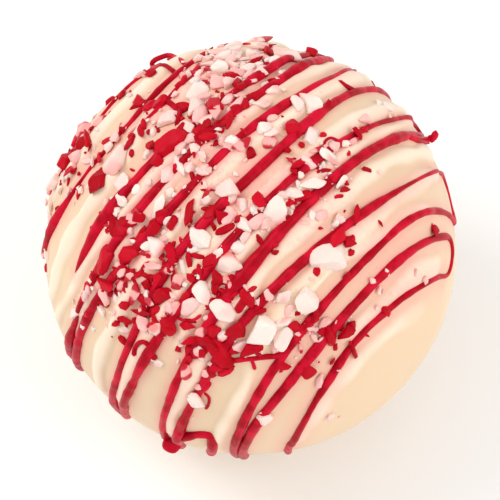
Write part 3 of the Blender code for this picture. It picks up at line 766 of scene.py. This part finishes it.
def shells(name, bodies):
    """One mesh of closed shells. Each body is a grid of points, rows by columns, that
    closes round its columns, and its first and last row close in a pole point each."""
    points, faces, start = [], [], 0
    for grid, low, high in bodies:
        rows, columns = grid.shape[:2]
        body = np.concatenate((grid.reshape(-1, 3), (low, high)))
        ring = np.arange(rows * columns).reshape(rows, columns)
        near, far = ring[:-1], ring[1:]
        quads = np.stack((near, np.roll(near, -1, 1), np.roll(far, -1, 1), far), -1)
        quads = quads.reshape(-1, 4)
        pole = np.full(columns, rows * columns)
        fan = np.stack((pole, np.roll(ring[0], -1), ring[0]), -1)
        cap = np.stack((pole + 1, ring[-1], np.roll(ring[-1], -1)), -1)
        centred = body - body.mean(0)
        corners = centred[np.concatenate((quads[:, :3], quads[:, (0, 2, 3)], fan, cap))]
        outward = np.linalg.det(corners).sum() > 0
        for group in (quads, fan, cap):
            faces.extend((start + (group if outward else group[:, ::-1])).tolist())
        points.append(body)
        start += len(body)
    mesh = bpy.data.meshes.new(name)
    mesh.from_pydata(np.concatenate(points), [], faces)
    mesh.shade_smooth()
    made = bpy.data.objects.new(name, mesh)
    bpy.context.scene.collection.objects.link(made)
    return made


def attribute(piece, name, values):
    """Gives each point of the piece a number that its material reads."""
    layer = piece.data.attributes.new(name, "FLOAT", "POINT")
    layer.data.foreach_set("value", np.asarray(values, np.float32).ravel())


def finished(piece, look, slot):
    """Gives the piece its material and its place in the part."""
    piece.data.materials.append(look)
    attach(piece, "root")
    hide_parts("chocolate_sphere")


def chocolate_ball(look):
    """The coat: a ball with the white strands on it, cut level at the spot below.

    Rows are latitudes about the axis across the passes, closer together than the
    columns round it, so that the strands run along the columns.
    """
    latitude = np.linspace(-math.pi / 2, math.pi / 2, BALL_ROWS + 2)
    angle = np.linspace(-math.pi, math.pi, BALL_COLUMNS, endpoint=False)
    offset = BALL_RADIUS * np.sin(latitude[1:-1])
    unit = direction(offset[:, None] + 0 * angle, angle[None, :] + 0 * offset[:, None])
    poles = direction(np.array((-BALL_RADIUS, BALL_RADIUS)), np.zeros(2))
    grid, ends = on_coat(unit), on_coat(poles)
    level = grid[..., 2]
    rounded = 0.5 * (level + np.sqrt(level**2 + SPOT_EDGE**2)) - SPOT_EDGE / 2
    grid[..., 2] = np.where(level < SPOT_EDGE, np.maximum(rounded, 0.0), level)
    piece = shells("chocolate_coat", [(grid, ends[0], ends[1])])
    everywhere = np.concatenate((unit.reshape(-1, 3), poles))
    attribute(piece, "crest", white_relief(everywhere) / MM)
    attribute(piece, "stain", red_nearness(everywhere, STAIN_REACH))
    attribute(piece, "dusted", dusted(everywhere))
    finished(piece, look, "white_chocolate")


def run_length(points):
    """How far along the line through the points each of them lies."""
    return np.concatenate(((0.0,), np.cumsum(np.linalg.norm(np.diff(points, axis=0), axis=1))))


def resampled(points, step, ease_over=0):
    """Points this far apart along the smooth curve through the points given, with its
    corners rounded off over so many of them. Columns after the third go along."""
    fine = through(points, np.linspace(0.0, 1.0, FINE_POINTS * len(points)))
    length = run_length(fine[:, :3])
    even = np.linspace(0.0, length[-1], max(FEWEST_POINTS, 1 + round(length[-1] / step)))
    evened = np.column_stack([np.interp(even, length, column) for column in fine.T])
    if ease_over:
        kernel = np.hanning(2 * ease_over + 3)[1:-1]
        padded = np.pad(evened, ((ease_over, ease_over), (0, 0)), mode="edge")
        sums = [np.convolve(column, kernel / kernel.sum(), "valid") for column in padded.T]
        evened[1:-1] = np.column_stack(sums)[1:-1]
    return evened


def pass_rows(name):
    """Unit vectors and widths (mm) along one red pass from its first angle to its last."""
    first, last, _, offsets = RED_PASSES[name]
    share = np.linspace(0.0, 1.0, PASS_POINTS)
    angle = np.radians(first + (last - first) * share)
    widths = RED_WIDTHS[name]
    wide = np.interp(share, np.linspace(0.0, 1.0, len(widths)), widths)
    return np.column_stack((leant(direction(through(offsets, share) * MM, angle)), wide))


def bend_rows(one, other, end, reach):
    """Unit vectors and widths round the half turn from one pass to the next."""
    place, station = (1, -1) if end == "last" else (0, 0)
    reach = reach if end == "last" else -reach
    start, stop = RED_PASSES[one][3][station] * MM, RED_PASSES[other][3][station] * MM
    turn = np.linspace(0.0, math.pi, BEND_POINTS)[1:-1]
    moved = (1.0 - np.cos(turn)) / 2.0
    low, high = RED_PASSES[one][place], RED_PASSES[other][place]
    angle = low + (high - low) * moved + reach * np.sin(turn)
    thin, thick = RED_WIDTHS[one][station], RED_WIDTHS[other][station]
    units = leant(direction(start + (stop - start) * moved, np.radians(angle)))
    return np.column_stack((units, thin + (thick - thin) * moved))


def bead(points, normals, thickness, seed):
    """A strand of drizzle along the points: a bead, rounder above and sunk below.

    Its section is half an ellipse above the line and a shallower one below it, its
    thickness swells and thins along the way, and both ends close in a round.
    """
    forward = np.gradient(points, axis=0)
    forward /= np.linalg.norm(forward, axis=1, keepdims=True)
    side = np.cross(forward, normals)
    side /= np.linalg.norm(side, axis=1, keepdims=True)
    up = np.cross(side, forward)
    length = run_length(points)
    swell = sum((uneven(points, *waves, seed) for waves in RED_SWELL), 1.0)
    nearer = np.minimum(length, length[-1] - length) / (RED_TIP * np.max(thickness))
    close = np.sqrt(np.clip(1.0 - (1.0 - np.clip(nearer, 0.0, 1.0)) ** 2, TIP_LEFT, 1.0))
    wide = thickness * swell * close
    turn = np.linspace(0.0, math.tau, STRAND_SIDES, endpoint=False)
    across = 0.5 * np.cos(turn)
    height = np.where(np.sin(turn) > 0, RED_RISE, RED_DEPTH) * np.sin(turn)
    grid = (
        points[:, None]
        + side[:, None] * (wide[:, None] * across)[..., None]
        + up[:, None] * (wide[:, None] * height)[..., None]
    )
    return grid, points[0], points[-1]


def red_run():
    """The unit vectors and widths along the one long run, through its passes and bends."""
    rows = []
    for (name, way, reach), following in zip(RED_RUN, RED_RUN[1:] + (None,)):
        along = pass_rows(name)
        rows.append(along if way == "up" else along[::-1])
        if following:
            rows.append(bend_rows(name, following[0], "last" if way == "up" else "first", reach))
    return np.concatenate(rows)


def drizzle(look):
    """All the red drizzle: one long run that turns back at each end, single passes,
    loose ends and the blob that hangs over the edge."""
    beads = []
    routes = [red_run()] + [pass_rows(name) for name in SINGLE_PASSES]
    for number, rows in enumerate(routes):
        rows = resampled(rows, STRAND_STEP / BALL_RADIUS, CORNER_EASE)
        units = rows[:, :3] / np.linalg.norm(rows[:, :3], axis=1, keepdims=True)
        wide = RED_FULLNESS * MM * rows[:, 3]
        points = on_coat(units, RED_LIFT * wide)
        beads.append(bead(points, units, wide, RUN_SEED + len(RED_SWELL) * number))
    for number, (thickness, places) in enumerate(RED_TRAILS + FINE_TRAILS):
        units = np.array([seen_at(*place) for place in places])
        seen = np.hypot(*np.transpose(places)) * MM
        lift = np.maximum(seen - BALL_RADIUS, TRAIL_LIFT)
        points = resampled(on_coat(units, lift), STRAND_STEP)
        normals = points - BALL_MIDDLE
        normals /= np.linalg.norm(normals, axis=1, keepdims=True)
        seed = TRAIL_SEED + len(RED_SWELL) * number
        beads.append(bead(points, normals, thickness * MM, seed))
    beads.append(blob(*END_BLOB))
    finished(shells("red_drizzle", beads), look, "red_drizzle")


def sphere_grid(rows, columns):
    """Directions all round, rows from pole to pole with both poles, by columns."""
    tilt = np.linspace(0.0, math.pi, rows + 2)[:, None]
    turn = np.linspace(0.0, math.tau, columns, endpoint=False)[None, :]
    flat = np.sin(tilt)
    return np.stack((flat * np.cos(turn), flat * np.sin(turn), np.cos(tilt) + 0 * turn), -1)


def blob(right, up, width):
    """A lumpy ball of drizzle."""
    unit = sphere_grid(*BLOB_GRID)
    middle = seen_at(right, up, width) * (BALL_RADIUS + BLOB_RISE) + BALL_MIDDLE
    radius = 0.5 * width * MM * (1.0 + uneven(unit, *BLOB_WAVES))
    grid = unit * radius[..., None] + middle
    return grid[1:-1], grid[0, 0], grid[-1, 0]


def pulled(points, draws):
    """Points in a box of side 1 after its eight corners have been pulled about.

    Each point moves by the mean of the corners' moves, weighted by nearness.
    """
    moves = PIECE_RAGGED * (2.0 * draws.reshape(8, 3) - 1.0)
    signs = np.array(list(product((-1.0, 1.0), repeat=3)))
    weights = np.prod(0.5 + signs * points[..., None, :], -1)
    return points + weights @ moves


def chip(draws, rows, columns, sharpness):
    """A chip of peppermint in a box of side 1, as rows by columns of points, with the
    middles of its top and its base.

    It is what a ball keeps of itself between a few planes: sides all round, two sloping
    tops and a base. How far it reaches is 1 over the sum of how near each plane is, to a
    high power, which rounds its edges. Then it is pulled about with the box's corners.
    """
    chance = np.random.default_rng(int(draws[0] * CHIP_SEEDS))
    count = int(chance.integers(*CHIP_SIDES))
    aside = chance.uniform(-SIDE_UNEVEN, SIDE_UNEVEN, count)
    turn = math.tau * (np.arange(count) + aside) / count
    turn += chance.uniform(0.0, math.tau)
    sides = np.column_stack((np.cos(turn), np.sin(turn), chance.uniform(*SIDE_SLOPES, count)))
    tops = np.column_stack((chance.uniform(*TOP_SLOPES, (2, 2)), (1.0, 1.0)))
    planes = np.vstack((sides, tops, (0.0, 0.0, -1.0)))
    planes /= np.linalg.norm(planes, axis=1, keepdims=True)
    planes /= chance.uniform(*PLANE_NEARNESS, (len(planes), 1))
    power = chance.uniform(*sharpness)
    unit = sphere_grid(rows, columns)
    near = (np.maximum(unit @ planes.T, 0.0) ** power).sum(-1) + PIECE_REACH**-power
    shape = unit * (near ** (-1.0 / power))[..., None]
    shape = pulled(shape / (2.0 * np.abs(shape).max((0, 1))), draws)
    return shape[1:-1], shape[0, 0], shape[-1, 0]


def listed(tables, chance):
    """The pieces of some tables: direction, length, width, turn, kind, how loosely they
    lie, and the draws for their shapes."""
    for kind, table in tables.items():
        for right, up, length, width, turn in table:
            kept = OWN_KINDS.get((right, up), kind)
            draws = chance.uniform(size=PIECE_DRAWS)
            unit = seen_at(right, up, width)
            yield unit, length, width, math.radians(turn), kept, 0.0, draws


def standing_out():
    """Every piece in the tables and the larger crumbs, drawn as the solid draws them,
    then the smaller pieces and the heaps between them."""
    chance = np.random.default_rng(CRUMB_SEED)
    tables = {"red": RED_PIECES, "white": WHITE_PIECES, "pink": PINK_PIECES}
    rows = list(listed(tables, chance))
    for patch in CRUMB_PATCHES:
        rows += crumbs(patch, CRUMB_SIZES, CRUMB_WIDTHS, CRUMB_PINK_FROM, 0.0, chance)
    chance = np.random.default_rng(HEAP_SEED)
    rows += list(listed(SMALLER_PIECES, chance))
    for heap in HEAPS:
        loose = crumbs(heap, HEAP_SIZES, HEAP_WIDTHS, HEAP_PINK_FROM, 1.0, chance)
        rows += [row for row in loose if is_within(row, heap) and is_clear(row, rows)]
    return rows


def is_within(row, heap):
    """Whether a piece lies in the heap, and not among the few strewn far from it."""
    right, up, spread_right, spread_up = heap[:4]
    seen = row[0] @ VIEW * BALL_RADIUS / MM
    return math.hypot((seen[0] - right) / spread_right, (seen[1] - up) / spread_up) < HEAP_REACH


def is_clear(row, others):
    """Whether a piece lies clear of the middles of the large ones among the others."""
    for unit, length, *_ in others:
        near = CLEAR_SHARE * (length + row[1]) * MM
        if length > LARGE_LENGTH and BALL_RADIUS * np.linalg.norm(unit - row[0]) < near:
            return False
    return True


def crumbs(patch, sizes, widths, pink_from, loose, chance):
    """The crumbs of a patch, set out as the rows of pieces are: their places spread by
    the bell curve, and their lengths, widths, turns and kinds drawn evenly."""
    right, up, spread_right, spread_up, count, red_share, side = patch
    rows = []
    for _ in range(count):
        x, y = chance.normal((right, up), (spread_right, spread_up))
        length = chance.uniform(*sizes)
        width = length * chance.uniform(*widths)
        turn = chance.uniform(0.0, math.tau)
        draw = chance.uniform()
        kind = "red" if draw < red_share else "pink" if draw > pink_from else "white"
        if loose and draw > STRIPED_FROM:
            kind = "striped"
        draws = chance.uniform(size=PIECE_DRAWS)
        unit = seen_at(x, y, side=side)
        rows.append((unit, length, width, turn, kind, loose * draws[0], draws))
    return rows


def strewn(rows, each, sizes, spread, seed):
    """Finer crumbs round the pieces in these rows, so many for each: some of the piece's
    own kind, and the rest red, pink or white."""
    chance = np.random.default_rng(seed)
    finer = []
    for unit, _, _, _, kind, _, _ in rows * each:
        near = unit + chance.normal(0.0, spread * MM / BALL_RADIUS, 3)
        length = chance.uniform(*sizes)
        width = length * chance.uniform(*FINE_WIDTHS)
        turn = chance.uniform(0.0, math.tau)
        kept = kind if kind != "striped" else "red"
        if chance.uniform() >= OWN_SHARE:
            kept = chance.choice(("red", "pink", "white"))
        draws = chance.uniform(size=PIECE_DRAWS)
        row = (near / np.linalg.norm(near), length, width, turn, kept, FINE_LOOSE, draws)
        if is_clear(row, rows):
            finer.append(row)
    return finer


def laid(row, middle):
    """One piece about its middle, lying a little tilted, and its points in its own box."""
    unit, length, width, turn, _, loose, draws = row
    flat = VIEW[:, 0] - unit * (VIEW[:, 0] @ unit)
    flat /= np.linalg.norm(flat)
    side = np.cross(unit, flat)
    forward = math.cos(turn) * flat + math.sin(turn) * side
    tilt = (2.0 * PIECE_TILT * draws[:2] - PIECE_TILT) * (1.0 + LOOSE_TILT * loose)
    normal = unit + tilt[0] * flat + tilt[1] * side
    normal /= np.linalg.norm(normal)
    sideways = np.cross(normal, forward)
    sideways /= np.linalg.norm(sideways)
    axes = np.column_stack((np.cross(sideways, normal), sideways, normal))
    grid = next(grid for shortest, *grid in PIECE_GRIDS if length >= shortest)
    local = chip(draws[2:], *grid)
    size = np.array((length, width, PIECE_THICKNESS * width)) * PIECE_FULLNESS * MM
    placed = tuple((part * size) @ axes.T + middle for part in local)
    return placed, np.concatenate([part.reshape(-1, 3) for part in local])


def markings(local, nearness, crowd, chance):
    """How blushed each point of a piece is, how far its stripes' wave has turned there,
    and its tone, which is the same all over.

    The blush is the larger of one on a side, drawn for each piece, and one at the base,
    which is partly a stain and partly painted shade and painted red light bounced from the
    drizzle, stronger on red drizzle, with a drawn share of one all over, stronger amid powder.
    """
    way = chance.normal(size=3)
    strength = chance.uniform() ** BLUSH_POWER
    coated = ease(local @ (way / np.linalg.norm(way)), *BLUSHED_SIDE) * strength
    # The blush at the base: partly a stain, partly painted shade and painted red light bounced
    # from the drizzle
    low = ease(-local[:, 2], 0.0, 0.5) * (BASE_STAIN_AND_SHADE[0] + BASE_STAIN_AND_SHADE[1] * nearness)
    over = (BLUSHED_OVER[0] + BLUSHED_OVER[1] * crowd) * chance.uniform()
    band = local[:, 0] * chance.uniform(*BAND_TURN) + chance.uniform(0.0, math.tau)
    tone = np.full(len(local), chance.uniform())
    return np.maximum(coated, low) + over, band, tone


def pieces_of(kind, chosen, look, slot, chance):
    """All the pieces of one kind, pressed into the coat, as one mesh."""
    units = np.array([row[0] for row in chosen])
    thick = PIECE_THICKNESS * MM * np.array([row[2] for row in chosen])
    loose = np.array([row[5] for row in chosen])
    near = red_nearness(units, TOUCH_REACH)
    lift = (PIECE_SINK + LOOSE_LIFT * loose) * thick + RED_UNDER * near
    bodies, marks = [], []
    for row, middle, nearness, crowd in zip(chosen, on_coat(units, lift), near, dusted(units)):
        body, local = laid(row, middle)
        bodies.append(body)
        marks.append(markings(local, nearness, crowd, chance))
    piece = shells("peppermint_" + kind, bodies)
    piece.data.set_sharp_from_angle(angle=SOFT_ANGLE)
    for name, values in zip(("blush_and_shade", "band", "tone"), zip(*marks)):
        attribute(piece, name, np.concatenate(values))
    finished(piece, look, slot)


def peppermint(looks):
    """The crushed peppermint, one mesh for each colour, and one of the fine dust."""
    rows = standing_out()
    dust = strewn(rows, *DUST)
    rows += strewn(rows, *FINE_CRUMBS)
    chance = np.random.default_rng(MARK_SEED)
    for kind, slot in (
        ("white", "white_peppermint"),
        ("pink", "pink_peppermint"),
        ("red", "red_peppermint"),
        ("striped", "pink_peppermint"),
        ("dust", "white_peppermint"),
    ):
        chosen = dust if kind == "dust" else [row for row in rows if row[4] == kind]
        pieces_of(kind, chosen, looks[kind], slot, chance)


class Value:
    """What a node gives out: arithmetic on it adds Math nodes."""

    def __init__(self, look, socket):
        self.look = look
        self.socket = socket

    def math(self, operation, *terms):
        return self.look.node("ShaderNodeMath", {"operation": operation}, dict(enumerate(terms)))

    def __add__(self, other):
        return self.math("ADD", self, other)

    def __mul__(self, other):
        return self.math("MULTIPLY", self, other)

    __radd__ = __add__
    __rmul__ = __mul__

    def sine(self):
        return self.math("SINE", self)

    def ease(self, low, high):
        """0 below low, 1 above high, and a smooth step between them."""
        settings = {"interpolation_type": "SMOOTHSTEP"}
        return self.look.node(
            "ShaderNodeMapRange", settings, {"Value": self, "From Min": low, "From Max": high}
        )


class Look:
    """A material whose nodes are each made from a type, settings and sockets."""

    def __init__(self, name, **constants):
        self.material = bpy.data.materials.new(name)
        self.material.use_nodes = True
        self.tree = self.material.node_tree
        self.shader = self.tree.nodes["Principled BSDF"]
        for socket, value in constants.items():
            self.shader.inputs[socket.replace("_", " ")].default_value = value
        self.places = self.node("ShaderNodeTexCoord", output="Object")

    def node(self, kind, settings=None, sockets=None, output=0):
        made = self.tree.nodes.new(kind)
        for name, value in (settings or {}).items():
            setattr(made, name, value)
        for name, value in (sockets or {}).items():
            self.feed(made.inputs[name], value)
        return Value(self, made.outputs[output])

    def feed(self, socket, value):
        if isinstance(value, Value):
            self.tree.links.new(value.socket, socket)
        else:
            socket.default_value = value

    def colour(self, share, low, high):
        """A colour that goes from low to high with the share."""
        low = low if isinstance(low, Value) else (*low, 1.0)
        high = high if isinstance(high, Value) else (*high, 1.0)
        return self.node(
            "ShaderNodeMix", {"data_type": "RGBA"}, {0: share, 6: low, 7: high}, output=2
        )

    def noise(self, size, detail, roughness=0.5):
        """Cloudy unevenness from 0 to 1 with features of this size."""
        sockets = {"Vector": self.places, "Scale": 1.0 / size, "Detail": detail}
        return self.node("ShaderNodeTexNoise", None, {**sockets, "Roughness": roughness})

    def read(self, name):
        """The number of this name that each point of the mesh carries."""
        return self.node("ShaderNodeAttribute", {"attribute_name": name}, output="Fac")

    def finish(self, base, roughness, cloud, grain, depth):
        """Sends the colour to the shader, with its roughness, which is the first number
        plus the second times the cloud, and a bump this deep from the grain."""
        self.feed(self.shader.inputs["Base Color"], base)
        self.feed(self.shader.inputs["Roughness"], roughness[0] + cloud * roughness[1])
        bump = self.node(
            "ShaderNodeBump", None, {"Strength": 1.0, "Distance": depth, "Height": grain}
        )
        self.feed(self.shader.inputs["Normal"], bump)
        return self.material


def white_chocolate():
    """Waxy cream: paler on the crests and darker between them, partly the white drizzle's own
    colour over the bare shell and partly painted shade in the troughs; pink where red has bled.
    """
    look = Look(
        "white chocolate",
        Subsurface_Weight=0.2,
        Subsurface_Radius=(1.0, 0.6, 0.35),
        Subsurface_Scale=1.0 * MM,
        Specular_IOR_Level=0.25,
    )
    cloud = look.noise(*COAT_CLOUD)
    # Darker where the coat lies low: partly the tan shell, partly painted shade in the troughs
    # between the strands
    crest = look.read("crest").ease(0.0, CREST_HEIGHT)
    base = look.colour(crest * CREST_SHARE + cloud * (1.0 - CREST_SHARE), *COAT_AND_TROUGH_SHADE_COLOURS)
    powdered = look.read("dusted")
    stained = look.read("stain") * (STAIN_SHARE[0] + powdered * STAIN_SHARE[1])
    base = look.colour(stained, base, STAIN_COLOUR)
    patchy = look.noise(*POWDER_PATCHES).ease(*POWDER_EDGES)
    powder = powdered * (POWDER_SHARE[0] + patchy * POWDER_SHARE[1])
    base = look.colour(powder, base, POWDER_COLOUR)
    return look.finish(base, COAT_ROUGHNESS, cloud, look.noise(*COAT_GRAIN), COAT_BUMP)


def red_coating():
    """Set red coating, glossy and slightly uneven."""
    look = Look("red drizzle", Specular_IOR_Level=0.06)
    cloud = look.noise(*RED_CLOUD)
    base = look.colour(cloud.ease(*RED_EDGES), *RED_COLOURS)
    return look.finish(base, RED_ROUGHNESS, cloud, look.noise(*RED_GRAIN), RED_BUMP)


def boiled_sugar(name, tones, blush_and_shade_colour, scatter, gloss):
    """Crushed peppermint: chips whose tone differs from piece to piece, with a blush of
    the colour given on some, and towards their base the same colour as partly a stain and
    partly painted shade and painted red light bounced from the drizzle."""
    look = Look(
        name,
        Subsurface_Weight=scatter,
        Subsurface_Radius=(1.0, 0.6, 0.5),
        Subsurface_Scale=0.8 * MM,
        Specular_IOR_Level=gloss,
    )
    cloud = look.noise(*SUGAR_CLOUD)
    tone = look.read("tone") * TONE_SHARE + cloud * (1.0 - TONE_SHARE)
    # The blush mixes real coating and stain with painted shade and painted red bounce light at
    # the base
    base = look.colour(look.read("blush_and_shade"), look.colour(tone, *tones), blush_and_shade_colour)
    return look.finish(base, SUGAR_ROUGHNESS, cloud, look.noise(*SUGAR_GRAIN), SUGAR_BUMP)


def striped_sugar():
    """Red and pale pink peppermint in soft bands across the piece: a colour that goes
    with the sine of the band, bent by the cloud."""
    look = Look(
        "striped peppermint",
        Subsurface_Weight=0.3,
        Subsurface_Radius=(1.0, 0.6, 0.5),
        Subsurface_Scale=0.6 * MM,
        Specular_IOR_Level=0.3,
    )
    cloud = look.noise(*SUGAR_CLOUD)
    wave = (look.read("band") + cloud * BAND_WARP).sine()
    base = look.colour(wave.ease(*BAND_EDGES), *STRIPE_COLOURS)
    return look.finish(base, SUGAR_ROUGHNESS, cloud, look.noise(*SUGAR_GRAIN), SUGAR_BUMP)


def area_light(name, right, up, towards, size, power):
    """A soft square light so far right, up and towards the camera from the ball, which
    it faces. Distances are metres and the power is watts."""
    data = bpy.data.lights.new(name, "AREA")
    data.size = size
    data.energy = power
    made = bpy.data.objects.new(name, data)
    away = VIEW @ (right, up, towards)
    made.location = BALL_MIDDLE + away
    aim(made, away / np.linalg.norm(away))
    bpy.context.scene.collection.objects.link(made)


def aim(thing, back):
    """Turns a light or the camera so that it looks the other way from back."""
    side = np.cross((0.0, 0.0, 1.0), back)
    side /= np.linalg.norm(side)
    turned = np.column_stack((side, np.cross(back, side), back))
    thing.rotation_euler = Matrix(turned.tolist()).to_euler()


def studio():
    """A pale floor, soft light from the upper left, and the camera."""
    scene = bpy.context.scene
    bpy.ops.mesh.primitive_plane_add(size=FLOOR_SIZE)
    floor = bpy.context.object
    floor.name = "floor"
    look = Look("pale floor", Roughness=FLOOR_ROUGHNESS)
    tone = look.colour(look.noise(*FLOOR_CLOUD), *FLOOR_COLOURS)
    look.feed(look.shader.inputs["Base Color"], tone)
    floor.data.materials.append(look.material)
    for name, numbers in LIGHTS.items():
        area_light(name, *numbers)
    world = bpy.data.worlds.new("room")
    world.use_nodes = True
    background = world.node_tree.nodes["Background"]
    background.inputs["Color"].default_value = (1.0, 1.0, 1.0, 1.0)
    background.inputs["Strength"].default_value = ROOM_LIGHT
    scene.world = world
    lens = bpy.data.cameras.new("camera")
    lens.sensor_width = SENSOR_WIDTH
    lens.lens = SENSOR_WIDTH * CAMERA_DISTANCE / VIEW_WIDTH
    camera = bpy.data.objects.new("camera", lens)
    camera.location = BALL_MIDDLE + CAMERA_DISTANCE * VIEW[:, 2]
    aim(camera, VIEW[:, 2])
    scene.collection.objects.link(camera)
    scene.camera = camera
    scene.view_settings.view_transform = "Standard"


studio()
chocolate_ball(white_chocolate())
drizzle(red_coating())
white_sugar = boiled_sugar("white peppermint", WHITE_SUGAR, PALE_BLUSH_AND_SHADE, 0.35, 0.3)
peppermint(
    {
        "white": white_sugar,
        "dust": white_sugar,
        "pink": boiled_sugar("pink peppermint", PINK_SUGAR, PALE_BLUSH_AND_SHADE, 0.35, 0.3),
        "red": boiled_sugar("red peppermint", RED_SUGAR, DEEP_BLUSH_AND_SHADE, 0.0, 0.07),
        "striped": striped_sugar(),
    }
)
